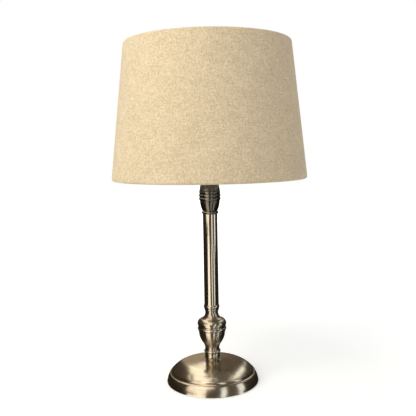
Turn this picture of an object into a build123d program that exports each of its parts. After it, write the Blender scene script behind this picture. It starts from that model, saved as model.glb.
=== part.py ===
from build123d import *
import math
import os

# Table lamp: a weighted foot, a turned stem on a threaded rod, a switched lampholder, a bulb and a shade.
# Millimetres, +Z up. The origin is the middle of the felt pad's underside, on the stem's axis.
# Turned pieces are outlines of (radius, height) points, turned about the stem's axis.

# Foot: the shell's outer outline, from its rim to the flat seat in the middle of the dome
foot_radius = 61.0
rim_gap = 0.8
skirt_inset = 4.3
skirt_height = 11.9
skirt_bulge = 0.6
cove_radius = 3.9
dome_edge_slope = 43.3
dome_edge_run = 12.0
dome_seat_slope = 4.5
seat_radius = 12.5
dome_rise = 11.4
shell_wall = 1.0

# Underside of the foot
felt_thickness = 2.0
cover_thickness = 2.0
underside_inset = 2.3
weight_gap = 2.0
boss_margin = 1.5
recess_depth = 15.0
recess_clearance = 1.0

# Threaded rod and its clamp under the weight
rod_radius = 5.0
rod_bore_radius = 3.5
rod_clearance = 0.2
rod_stub = 1.1
washer_radius = 13.0
washer_thickness = 1.6
tag_radius = 8.5
tag_thickness = 0.8
tag_tongue_width = 5.0
tag_tongue_reach = 12.0
tag_barrel_length = 5.0
tag_barrel_wall = 0.7
tag_barrel_clearance = 0.1
nut_across_flats = 14.0
nut_height = 4.5

# Cord inlet in the back of the skirt
inlet_height = 6.4
inlet_bore_radius = 3.2
bush_wall = 0.6
bush_lip = 0.6
bush_proud = 0.6
bush_length = 7.5
bush_clearance = 0.3

# Terminal block and leads
block_length = 16.0
block_height = 8.0
block_clearance = 0.7
cord_room = 8.0
way_count = 3
way_pitch = 4.2
way_clearance = 0.3
block_screw_radius = 1.2
block_screw_height = 0.8
lead_radius = 1.0
lead_gap = 0.6
lead_lift = 1.0
lead_run = 3.0
lead_bend = 6.5

# Foot ring
foot_ring_height = 14.0
foot_ring_radius = 9.5
foot_ring_bulge = 0.5
foot_groove_depth = 0.9
foot_groove_height = 1.4
foot_flange_radius = 11.0
foot_flange_height = 2.6
foot_flange_round = 0.7

# Lower vase
vase_height = 26.2
vase_neck_radius = 9.4
vase_neck_height = 2.4
vase_radius = 17.4
vase_bowl_arc = 26.0

# Beaded band
band_height = 6.8
band_radius = 17.9
band_bead_height = 3.6
band_bead_proud = 1.1

# Shoulder over the band
shoulder_height = 22.0
shoulder_radius = 19.0
shoulder_arc = 6.4
shoulder_widest_height = 3.4
shoulder_neck_radius = 8.5
shoulder_neck_height = 18.0

# Tube and the collars that centre it
tube_radius = 9.5
tube_wall = 1.0
tube_length = 120.5
spigot_length = 6.0
spigot_clearance = 0.1
lower_collar_height = 6.5
lower_collar_lip = 1.7
lower_collar_proud = 0.8
upper_collar_height = 4.5
upper_collar_lip = 0.4
upper_collar_proud = 1.2
collar_margin = 0.1

# Cup
cup_foot_radius = 9.9
cup_bowl_height = 13.4
cup_bowl_radius = 12.9
cup_step = 0.4
cup_bead_height = 4.3
cup_bead_proud = (0.8, 0.9, 0.4)
cup_dome_height = 9.7
cup_top_radius = 10.6
cup_dome_bulge = 0.5
cup_cover_thickness = 1.5
cup_cover_overhang = 0.4

# Lampholder
holder_cap_height = 25.0
holder_cap_step = 0.7
holder_cap_wall = 1.3
holder_boss_wall = 3.2
holder_boss_height = 8.0
holder_foot_height = 2.0
holder_flare_height = 10.0
holder_thread_clearance = 0.05
holder_flange_thickness = 2.0
holder_thread_radius = 19.5
holder_skirt_height = 30.0
holder_skirt_wall = 3.7
holder_lip_width = 1.3
holder_lip_thickness = 1.5
holder_spigot_depth = 4.0
holder_fit = 0.1
core_floor = 6.0
core_wall = 1.3
core_rim_drop = 2.0
core_clearance = 0.2
shell_thickness = 0.8
shell_flange_width = 5.0
shell_rim_drop = 0.5
contact_width = 5.0
contact_length = 14.0
contact_thickness = 0.6
contact_rise = 3.4
terminal_radius = 2.2
terminal_height = 3.0
terminal_margin = 1.0
terminal_angle = 48.6
screw_slot_width = 0.8
screw_slot_depth = 0.6

# Push-through switch
switch_block_margin = 0.7
switch_block_width = 12.0
switch_block_height = 9.5
switch_setback = 3.5
switch_drop = 6.0
bar_radius = 2.5
bar_clearance = 0.1
bar_travel = 6.0
bar_reach = 2.0
bar_round = 1.0

# Ring nut and the shade's wire frame
fitter_clearance = 1.5
fitter_seat = 4.0
fitter_width = 7.0
fitter_thickness = 1.6
fitter_recess = 23.6
nut_ring_height = 6.5
nut_ring_width = 7.7
nut_ring_clearance = 0.3
nut_grip_radius = 1.6
nut_grip_count = 18
wire_radius = 1.5
arm_radius = 1.5
arm_count = 3
arm_clearance = 0.3

# Shade
shade_bottom_radius = 125.0
shade_top_radius = 106.2
shade_height = 172.0
fabric_thickness = 0.9
liner_thickness = 0.5
liner_gap = 0.2
hem_gap = 0.3
hem_wrap = 270.0
hem_margin = 0.3

# Bulb
bulb_gap = 0.3
contact_button_radius = 4.8
contact_button_height = 1.1
insulator_height = 3.0
insulator_foot_radius = 6.5
cap_chamfer = 1.9
cap_thread_clearance = 0.4
cap_thread_height = 16.0
cap_flare = 0.7
cap_collar_height = 6.0
cap_wall = 0.5
glass_wall = 0.8
glass_fit = 0.2
glass_seat_depth = 9.0
glass_radius = 17.5
glass_widest_height = 24.0
glass_tip_height = 71.0
glass_tip_radius = 2.4
# Shares of the widening that the glass has half way from its neck to its belly, and from its tip to its belly
glass_shoulder_share = 0.8
glass_flank_share = 0.62
stem_radius = 2.4
stem_height = 22.0
stem_disc_thickness = 1.5
stem_plate_margin = 0.6
stem_plate_thickness = 1.0
filament_radius = 0.8
filament_height = 34.0
filament_circle_radius = 4.2
filament_count = 4
hub_thickness = 0.8
hub_margin = 0.4

# Heights of the joints between stacked pieces
seat_height = rim_gap + skirt_height + cove_radius + dome_rise
felt_top = felt_thickness
cover_top = felt_top + cover_thickness
recess_top = cover_top + recess_depth
washer_bottom = recess_top - washer_thickness
tag_bottom = washer_bottom - tag_thickness
nut_bottom = tag_bottom - nut_height
rod_bottom = nut_bottom - rod_stub
vase_bottom = seat_height + foot_ring_height
band_bottom = vase_bottom + vase_height
shoulder_bottom = band_bottom + band_height
lower_collar_bottom = shoulder_bottom + shoulder_height
tube_bottom = lower_collar_bottom + lower_collar_height
tube_top = tube_bottom + tube_length
cup_bottom = tube_top + upper_collar_height
cup_height = cup_bowl_height + cup_bead_height * len(cup_bead_proud) + cup_dome_height
cup_top = cup_bottom + cup_height
holder_bottom = cup_top + cup_cover_thickness
rod_top = holder_bottom + holder_boss_height
flange_bottom = holder_bottom + holder_cap_height
fitter_bottom = flange_bottom + holder_flange_thickness
nut_ring_bottom = fitter_bottom + fitter_thickness
skirt_top = flange_bottom + holder_skirt_height
lip_bottom = flange_bottom - holder_spigot_depth
core_bottom = lip_bottom + holder_lip_thickness
core_top = core_bottom + core_floor
shade_bottom = fitter_bottom - fitter_recess
shade_top = shade_bottom + shade_height

# Radii that follow from the sizes above
stem_bore = rod_radius + rod_clearance
skirt_top_radius = foot_radius - skirt_inset
underside_radius = foot_radius - underside_inset
boss_radius = seat_radius - boss_margin
recess_radius = tag_tongue_reach + tag_barrel_length + recess_clearance
bush_neck_radius = inlet_bore_radius + bush_wall
bush_flange_radius = bush_neck_radius + bush_lip
bush_end = foot_radius + bush_proud
bush_start = bush_end - bush_length
way_bore_radius = lead_radius + way_clearance
lead_spacing = 2 * lead_radius + lead_gap
block_width = way_count * way_pitch
block_distance = bush_start - cord_room - block_length
slot_width = block_width + 2 * block_clearance
foot_groove_radius = foot_ring_radius - foot_groove_depth
cup_groove_radius = cup_bowl_radius + cup_step
holder_cap_radius = holder_thread_radius - holder_cap_step
cap_inner_radius = holder_cap_radius - holder_cap_wall
boss_bore = rod_radius + holder_thread_clearance
holder_boss_radius = boss_bore + holder_boss_wall
holder_foot_radius = holder_boss_radius + holder_cap_wall
skirt_inner_radius = holder_thread_radius - holder_skirt_wall
lip_radius = skirt_inner_radius - holder_lip_width
core_radius = skirt_inner_radius - core_clearance
shell_outer_radius = core_radius - core_wall - core_clearance
shell_inner_radius = shell_outer_radius - shell_thickness
terminal_circle_radius = lip_radius - terminal_radius - terminal_margin
terminal_spread = terminal_circle_radius * math.cos(math.radians(terminal_angle))
terminal_setback = terminal_circle_radius * math.sin(math.radians(terminal_angle))
fitter_bore_radius = holder_thread_radius + fitter_clearance
fitter_radius = fitter_bore_radius + fitter_width
holder_flange_radius = fitter_bore_radius + fitter_seat
nut_ring_bore = holder_thread_radius + nut_ring_clearance
nut_ring_radius = nut_ring_bore + nut_ring_width
roll_radius = wire_radius + hem_gap + fabric_thickness
bulb_bottom = core_top + contact_rise + contact_thickness + bulb_gap
bulb_cap_bottom = bulb_bottom + contact_button_height + insulator_height
bulb_cap_top = bulb_cap_bottom + cap_thread_height + cap_collar_height
cap_thread_radius = shell_inner_radius - cap_thread_clearance
cap_collar_radius = cap_thread_radius + cap_flare
insulator_top_radius = cap_thread_radius - cap_chamfer
glass_neck_radius = cap_thread_radius - cap_wall - glass_fit
stem_plate_radius = filament_circle_radius + filament_radius + stem_plate_margin

# An outline whose last point is nearer than this to its first is already closed
closing_gap = 1e-6

# Where a cylinder is placed by the middle of one end
from_end = (Align.CENTER, Align.CENTER, Align.MIN)


def outline(start, *steps):
    """Face in the XZ plane; a step is a point, or a pair of a point on an arc and the arc's end."""
    edges = []
    here = start
    for step in steps:
        if isinstance(step[0], tuple):
            through, end = step
            edges.append(ThreePointArc(here, through, end))
        else:
            end = step
            edges.append(Line(here, end))
        here = end
    if math.dist(here, start) > closing_gap:
        edges.append(Line(here, start))
    return Plane.XZ * make_face(edges)


def turned(start, *steps):
    """Solid of revolution about the stem's axis."""
    return revolve(outline(start, *steps), Axis.Z)


def ring(inner_radius, outer_radius, bottom, top):
    """Plain ring about the stem's axis, or a disc where the inner radius is 0."""
    return turned((inner_radius, bottom), (outer_radius, bottom), (outer_radius, top), (inner_radius, top))


def block(width, depth, height, x, y, bottom):
    """Box by its sizes, the middle of its plan and its underside."""
    return Pos(x, y, bottom + height / 2) * Box(width, depth, height)


def toward(centre, radius, point):
    """Point of a circle in the direction of another point."""
    across = point[0] - centre[0]
    up = point[1] - centre[1]
    length = math.hypot(across, up)
    return (centre[0] + radius * across / length, centre[1] + radius * up / length)


def arc_middle(centre, radius, first, last):
    """Point of a circle half way between two of its points."""
    return toward(centre, radius, ((first[0] + last[0]) / 2, (first[1] + last[1]) / 2))


def neck_arc(bulge_centre, bulge_radius, neck_radius, neck_height):
    """Hollow arc of a neck that runs smoothly into a bulge: its centre and radius."""
    reach = neck_radius - bulge_centre[0]
    rise = neck_height - bulge_centre[1]
    radius = (reach**2 + rise**2 - bulge_radius**2) / (2 * (bulge_radius - reach))
    return (neck_radius + radius, neck_height), radius


def foot_line(inset):
    """Points and arcs of the foot's outline, moved inwards: rim, skirt, cove, dome edge, dome, seat edge."""
    skirt_top_height = rim_gap + skirt_height
    skirt_length = math.hypot(skirt_height, skirt_inset)
    sideways = inset * skirt_length / skirt_height
    rim = (foot_radius - sideways, rim_gap)
    skirt_middle = (
        (foot_radius + skirt_top_radius) / 2 + skirt_bulge * skirt_height / skirt_length - sideways,
        rim_gap + skirt_height / 2 + skirt_bulge * skirt_inset / skirt_length,
    )
    skirt_end = (skirt_top_radius - sideways + inset * skirt_inset / skirt_height, skirt_top_height - inset)
    cove_centre = (skirt_top_radius, skirt_top_height + cove_radius)
    cove_middle = (
        cove_centre[0] - (cove_radius + inset) * math.sqrt(0.5),
        cove_centre[1] - (cove_radius + inset) * math.sqrt(0.5),
    )
    edge_slope = math.radians(dome_edge_slope)
    seat_slope = math.radians(dome_seat_slope)
    outer_edge = (skirt_top_radius - cove_radius, skirt_top_height + cove_radius)
    up_dome = (-math.cos(edge_slope), math.sin(edge_slope))
    to_seat = (-math.cos(seat_slope), math.sin(seat_slope))
    # Two arcs that meet smoothly: the tangents drawn from both ends have a common crossing line
    corner = (outer_edge[0] + dome_edge_run * up_dome[0], outer_edge[1] + dome_edge_run * up_dome[1])
    span = (seat_radius - corner[0], seat_height - corner[1])
    along = span[0] * to_seat[0] + span[1] * to_seat[1]
    seat_run = (span[0] ** 2 + span[1] ** 2 - dome_edge_run**2) / (2 * (dome_edge_run + along))
    far_corner = (seat_radius - seat_run * to_seat[0], seat_height - seat_run * to_seat[1])
    share = dome_edge_run / (dome_edge_run + seat_run)
    joint = tuple(near + share * (far - near) for near, far in zip(corner, far_corner))
    joint_slope = math.atan2(far_corner[1] - corner[1], corner[0] - far_corner[0])
    shoulder_arc_radius = dome_edge_run / math.tan((edge_slope - joint_slope) / 2)
    crown_arc_radius = seat_run / math.tan((joint_slope - seat_slope) / 2)
    shoulder_centre = (
        outer_edge[0] - shoulder_arc_radius * math.sin(edge_slope),
        outer_edge[1] - shoulder_arc_radius * math.cos(edge_slope),
    )
    crown_centre = (
        joint[0] - crown_arc_radius * math.sin(joint_slope),
        joint[1] - crown_arc_radius * math.cos(joint_slope),
    )

    def on_arc(centre, radius, slope):
        """Point of a dome arc where the surface has this slope."""
        return (
            centre[0] + (radius - inset) * math.sin(slope),
            centre[1] + (radius - inset) * math.cos(slope),
        )

    dome_edge = on_arc(shoulder_centre, shoulder_arc_radius, edge_slope)
    shoulder_middle = on_arc(shoulder_centre, shoulder_arc_radius, (edge_slope + joint_slope) / 2)
    dome_joint = on_arc(shoulder_centre, shoulder_arc_radius, joint_slope)
    crown_middle = on_arc(crown_centre, crown_arc_radius, (joint_slope + seat_slope) / 2)
    seat_edge = (seat_radius, seat_height - inset)
    skirt = [rim, (skirt_middle, skirt_end), (cove_middle, dome_edge)]
    dome = [(shoulder_middle, dome_joint), (crown_middle, seat_edge)]
    return skirt, dome


def reversed_line(start, steps):
    """The same points and arcs, run from the last point back to the start."""
    points = [start] + [step[1] if isinstance(step[0], tuple) else step for step in steps]
    back = []
    for index in range(len(steps) - 1, -1, -1):
        step = steps[index]
        back.append((step[0], points[index]) if isinstance(step[0], tuple) else points[index])
    return back


def make_foot(parts):
    """Shell, weight, underside and cord bush."""
    outer_skirt, outer_dome = foot_line(0)
    inner_skirt, inner_dome = foot_line(shell_wall)
    inner_steps = inner_skirt[1:] + inner_dome
    shell = turned(
        outer_skirt[0],
        *outer_skirt[1:],
        *outer_dome,
        (stem_bore, seat_height),
        (stem_bore, seat_height - shell_wall),
        (seat_radius, seat_height - shell_wall),
        *reversed_line(inner_skirt[0], inner_steps),
    )
    inlet_axis = Pos(0, 0, inlet_height) * Rot(-90, 0, 0)
    shell -= inlet_axis * Cylinder(bush_neck_radius, 2 * foot_radius, align=from_end)
    parts["base_shell"] = shell

    # The bush fills the hole in the skirt, with a flange on both sides of the wall
    bush_blank = Cylinder(bush_flange_radius, bush_length, align=from_end)
    bush_blank -= Cylinder(inlet_bore_radius, 3 * bush_length)
    parts["cord_bush"] = inlet_axis * Pos(0, 0, bush_start) * bush_blank - shell
    bush_room = Cylinder(bush_flange_radius + bush_clearance, 2 * foot_radius)
    bush_room = inlet_axis * Pos(0, 0, bush_start - bush_clearance + foot_radius) * bush_room

    parts["felt_pad"] = ring(0, underside_radius, 0, felt_top) - bush_room
    parts["bottom_cover"] = ring(0, underside_radius, felt_top, cover_top) - bush_room

    weight_skirt, weight_dome = foot_line(shell_wall + weight_gap)
    weight_edge = weight_skirt[-1][1]
    weight = turned(
        (stem_bore, recess_top),
        (recess_radius, recess_top),
        (recess_radius, cover_top),
        (weight_edge[0], cover_top),
        weight_edge,
        *weight_dome,
        (boss_radius, seat_height - shell_wall - weight_gap),
        (boss_radius, seat_height - shell_wall),
        (stem_bore, seat_height - shell_wall),
    )
    weight -= block(slot_width, foot_radius, recess_depth, 0, foot_radius / 2, cover_top)
    parts["base_weight"] = weight


def make_clamp(parts):
    """Rod through the stem, with the washer, earth tag and nut that clamp it under the weight."""
    parts["threaded_rod"] = ring(rod_bore_radius, rod_radius, rod_bottom, rod_top)
    parts["clamp_washer"] = ring(stem_bore, washer_radius, washer_bottom, recess_top)
    tag = ring(stem_bore, tag_radius, tag_bottom, washer_bottom)
    tongue_start = (stem_bore + tag_radius) / 2
    tongue_length = tag_tongue_reach - tongue_start
    tag += block(
        tag_tongue_width, tongue_length, tag_thickness, 0, tongue_start + tongue_length / 2, tag_bottom
    )
    barrel_radius = lead_radius + tag_barrel_clearance + tag_barrel_wall
    barrel_axis = Pos(0, tag_tongue_reach, washer_bottom - barrel_radius) * Rot(-90, 0, 0)
    tag += barrel_axis * Cylinder(barrel_radius, tag_barrel_length, align=from_end)
    way = Cylinder(lead_radius + tag_barrel_clearance, tag_barrel_length, align=from_end)
    parts["earth_tag"] = tag - barrel_axis * Pos(0, 0, tag_barrel_length / 2) * way
    hexagon = RegularPolygon(nut_across_flats / 2, 6, major_radius=False)
    nut = Pos(0, 0, nut_bottom) * extrude(hexagon, nut_height)
    nut -= ring(0, rod_radius, nut_bottom, tag_bottom)
    parts["lock_nut"] = nut


def lead(points, radii):
    """Insulated wire along straight runs joined by tangent arcs."""
    path = FilletPolyline(*points, radius=radii)
    section = Plane(origin=path @ 0, z_dir=path % 0) * Circle(lead_radius)
    return sweep(section, path=path)


def make_wiring(parts):
    """Terminal block in the weight's slot and the leads up the rod to the lampholder."""
    way_level = cover_top + block_height / 2
    body = block(block_width, block_length, block_height, 0, block_distance + block_length / 2, cover_top)
    screws = []
    for index in range(way_count):
        across = (index - (way_count - 1) / 2) * way_pitch
        way_axis = Pos(across, block_distance, way_level) * Rot(-90, 0, 0)
        body -= way_axis * Cylinder(way_bore_radius, 2 * block_length)
        screw_middle = block_distance + block_length / 2
        screw_foot = Pos(across, screw_middle, cover_top + block_height)
        screw = screw_foot * Cylinder(block_screw_radius, block_screw_height, align=from_end)
        screw_top = cover_top + block_height + block_screw_height
        screw -= block(
            2 * block_screw_radius,
            screw_slot_width,
            screw_slot_depth,
            across,
            screw_middle,
            screw_top - screw_slot_depth,
        )
        screws.append(screw)
    parts["terminal_block"] = body
    parts["block_screws"] = Compound(children=screws)

    lead_end = block_distance + block_length / 4
    lead_level = cover_top + lead_lift + lead_radius
    terminal_level = core_bottom - terminal_height
    for name, side in (("live_lead", -1), ("neutral_lead", 1)):
        in_rod = side * lead_spacing / 2
        at_block = side * way_pitch
        points = [
            (at_block, lead_end, way_level),
            (at_block, block_distance - lead_run, way_level),
            (in_rod, 2 * lead_bend, lead_level),
            (in_rod, 0, lead_level),
            (in_rod, 0, rod_top + lead_radius),
            (side * terminal_spread, -terminal_setback, rod_top + 2 * lead_run),
            (side * terminal_spread, -terminal_setback, terminal_level),
        ]
        parts[name] = lead(points, [2 * lead_bend, 2 * lead_bend, lead_bend, lead_run, lead_run])
    barrel_level = washer_bottom - lead_radius - tag_barrel_clearance - tag_barrel_wall
    barrel_end = tag_tongue_reach + tag_barrel_length
    earth_points = [
        (0, barrel_end - tag_barrel_length / 2, barrel_level),
        (0, barrel_end + lead_run, barrel_level),
        (0, block_distance - lead_run, way_level),
        (0, lead_end, way_level),
    ]
    parts["earth_lead"] = lead(earth_points, [lead_run, lead_run])


def make_stem(parts):
    """Turned pieces stacked on the rod, from the foot ring to the cup's cover."""
    flange_bottom_height = vase_bottom - foot_flange_height
    groove_bottom = flange_bottom_height - foot_groove_height
    flange_edge = foot_flange_radius - foot_flange_round
    ring_middle = (foot_ring_radius + foot_ring_bulge, (seat_height + groove_bottom) / 2)
    parts["foot_ring"] = turned(
        (stem_bore, seat_height),
        (foot_ring_radius, seat_height),
        (ring_middle, (foot_ring_radius, groove_bottom)),
        (foot_groove_radius, groove_bottom),
        (foot_groove_radius, flange_bottom_height),
        (flange_edge, flange_bottom_height),
        ((foot_flange_radius, vase_bottom - foot_flange_height / 2), (flange_edge, vase_bottom)),
        (stem_bore, vase_bottom),
    )

    bowl_centre = (vase_radius - vase_bowl_arc, band_bottom)
    neck_height = vase_bottom + vase_neck_height
    neck_centre, neck_radius = neck_arc(bowl_centre, vase_bowl_arc, vase_neck_radius, neck_height)
    neck_joint = toward(bowl_centre, vase_bowl_arc, neck_centre)
    vase_foot = (neck_centre[0] - math.sqrt(neck_radius**2 - vase_neck_height**2), vase_bottom)
    bowl_top = (vase_radius, band_bottom)
    parts["lower_vase"] = turned(
        (stem_bore, vase_bottom),
        vase_foot,
        ((vase_neck_radius, neck_height), neck_joint),
        (arc_middle(bowl_centre, vase_bowl_arc, neck_joint, bowl_top), bowl_top),
        (stem_bore, band_bottom),
    )

    bead_middle = band_bottom + band_height / 2
    parts["knop_band"] = turned(
        (stem_bore, band_bottom),
        (band_radius, band_bottom),
        (band_radius, bead_middle - band_bead_height / 2),
        ((band_radius + band_bead_proud, bead_middle), (band_radius, bead_middle + band_bead_height / 2)),
        (band_radius, shoulder_bottom),
        (stem_bore, shoulder_bottom),
    )

    bulge_centre = (shoulder_radius - shoulder_arc, shoulder_bottom + shoulder_widest_height)
    neck_height = shoulder_bottom + shoulder_neck_height
    neck_centre, neck_radius = neck_arc(bulge_centre, shoulder_arc, shoulder_neck_radius, neck_height)
    neck_joint = toward(bulge_centre, shoulder_arc, neck_centre)
    foot = (bulge_centre[0] + math.sqrt(shoulder_arc**2 - shoulder_widest_height**2), shoulder_bottom)
    neck_rise = lower_collar_bottom - neck_height
    head = (neck_centre[0] - math.sqrt(neck_radius**2 - neck_rise**2), lower_collar_bottom)
    parts["vase_shoulder"] = turned(
        (stem_bore, shoulder_bottom),
        foot,
        (arc_middle(bulge_centre, shoulder_arc, foot, neck_joint), neck_joint),
        ((shoulder_neck_radius, neck_height), head),
        (stem_bore, lower_collar_bottom),
    )

    collar_radius = tube_radius + collar_margin
    spigot_radius = tube_radius - tube_wall - spigot_clearance
    lower_lip = lower_collar_bottom + lower_collar_lip
    parts["lower_collar"] = turned(
        (stem_bore, lower_collar_bottom),
        (collar_radius, lower_collar_bottom),
        (collar_radius, lower_lip),
        ((collar_radius + lower_collar_proud, (lower_lip + tube_bottom) / 2), (collar_radius, tube_bottom)),
        (spigot_radius, tube_bottom),
        (spigot_radius, tube_bottom + spigot_length),
        (stem_bore, tube_bottom + spigot_length),
    )
    parts["column_tube"] = ring(tube_radius - tube_wall, tube_radius, tube_bottom, tube_top)
    upper_lip = cup_bottom - upper_collar_lip
    parts["upper_collar"] = turned(
        (stem_bore, tube_top - spigot_length),
        (spigot_radius, tube_top - spigot_length),
        (spigot_radius, tube_top),
        (collar_radius, tube_top),
        ((collar_radius + upper_collar_proud, (tube_top + upper_lip) / 2), (collar_radius, upper_lip)),
        (collar_radius, cup_bottom),
        (stem_bore, cup_bottom),
    )

    widening = cup_bowl_radius - cup_foot_radius
    bowl_arc = (cup_bowl_height**2 + widening**2) / (2 * widening)
    bowl_rim = (cup_bowl_radius, cup_bottom + cup_bowl_height)
    bowl_centre = (cup_bowl_radius - bowl_arc, bowl_rim[1])
    bowl_foot = (cup_foot_radius, cup_bottom)
    beads = []
    level = bowl_rim[1]
    for proud in cup_bead_proud:
        bead_crest = (cup_groove_radius + proud, level + cup_bead_height / 2)
        level += cup_bead_height
        beads.append((bead_crest, (cup_groove_radius, level)))
    dome_middle = (
        (cup_groove_radius + cup_top_radius) / 2 + cup_dome_bulge,
        (level + cup_top) / 2 + cup_dome_bulge,
    )
    parts["urn_cup"] = turned(
        (stem_bore, cup_bottom),
        bowl_foot,
        (arc_middle(bowl_centre, bowl_arc, bowl_foot, bowl_rim), bowl_rim),
        (cup_groove_radius, bowl_rim[1]),
        *beads,
        (dome_middle, (cup_top_radius, cup_top)),
        (stem_bore, cup_top),
    )
    parts["cup_cover"] = ring(stem_bore, cup_top_radius + cup_cover_overhang, cup_top, holder_bottom)


def make_lampholder(parts):
    """Lampholder on the rod: cap, threaded skirt, core, screw shell, contact, terminals and switch."""
    flare_top = holder_bottom + holder_flare_height
    inner_flare_foot = holder_bottom + holder_foot_height + 1.5 * holder_cap_wall
    cap = turned(
        (boss_bore, holder_bottom),
        (holder_foot_radius, holder_bottom),
        (holder_foot_radius, holder_bottom + holder_foot_height),
        (holder_cap_radius, flare_top),
        (holder_cap_radius, flange_bottom),
        (cap_inner_radius, flange_bottom),
        (cap_inner_radius, flare_top + holder_cap_wall / 2),
        (holder_foot_radius, inner_flare_foot),
        (holder_boss_radius, inner_flare_foot),
        (holder_boss_radius, rod_top),
        (boss_bore, rod_top),
    )
    bar_axis = Pos(0, switch_setback, core_bottom - switch_drop) * Rot(0, 90, 0)
    bar_hole = bar_axis * Cylinder(bar_radius + bar_clearance, 4 * holder_cap_radius)
    parts["holder_cap"] = cap - bar_hole

    spigot_radius = cap_inner_radius - holder_fit
    parts["holder_skirt"] = turned(
        (lip_radius, lip_bottom),
        (spigot_radius, lip_bottom),
        (spigot_radius, flange_bottom),
        (holder_flange_radius, flange_bottom),
        (holder_flange_radius, fitter_bottom),
        (holder_thread_radius, fitter_bottom),
        (holder_thread_radius, skirt_top),
        (skirt_inner_radius, skirt_top),
        (skirt_inner_radius, core_bottom),
        (lip_radius, core_bottom),
    )
    core_rim = skirt_top - core_rim_drop
    parts["holder_core"] = turned(
        (0, core_bottom),
        (core_radius, core_bottom),
        (core_radius, core_rim),
        (core_radius - core_wall, core_rim),
        (core_radius - core_wall, core_top),
        (0, core_top),
    )
    shell_rim = core_rim - shell_rim_drop
    parts["screw_shell"] = turned(
        (shell_outer_radius - shell_flange_width, core_top),
        (shell_outer_radius, core_top),
        (shell_outer_radius, shell_rim),
        (shell_inner_radius, shell_rim),
        (shell_inner_radius, core_top + shell_thickness),
        (shell_outer_radius - shell_flange_width, core_top + shell_thickness),
    )
    # Springy tongue: a foot on the core's floor, a ramp, and a flat pad under the bulb's contact
    half = contact_length / 2
    tongue = outline(
        (-half, core_top),
        (-half / 3, core_top),
        (0, core_top + contact_rise),
        (half, core_top + contact_rise),
        (half, core_top + contact_rise + contact_thickness),
        (-contact_thickness / 2, core_top + contact_rise + contact_thickness),
        (-half / 3 - contact_thickness / 2, core_top + contact_thickness),
        (-half, core_top + contact_thickness),
    )
    parts["centre_contact"] = extrude(tongue, contact_width / 2, both=True)

    screws = []
    terminal_bottom = core_bottom - terminal_height
    for side in (-1, 1):
        screw_foot = Pos(side * terminal_spread, -terminal_setback, terminal_bottom)
        screws.append(screw_foot * Cylinder(terminal_radius, terminal_height, align=from_end))
    parts["holder_terminals"] = Compound(children=screws)

    block_corner = switch_setback + switch_block_width / 2
    half_length = math.sqrt((lip_radius - switch_block_margin) ** 2 - block_corner**2)
    parts["switch_block"] = (
        block(
            2 * half_length,
            switch_block_width,
            switch_block_height,
            0,
            switch_setback,
            core_bottom - switch_block_height,
        )
        - bar_hole
    )
    wall_reach = math.sqrt(holder_cap_radius**2 - switch_setback**2)
    bar_length = 2 * (wall_reach + bar_reach) + bar_travel
    bar = Cylinder(bar_radius, bar_length)
    bar = fillet(bar.edges(), bar_round)
    parts["switch_bar"] = Pos(-bar_travel / 2, 0, 0) * bar_axis * bar


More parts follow.
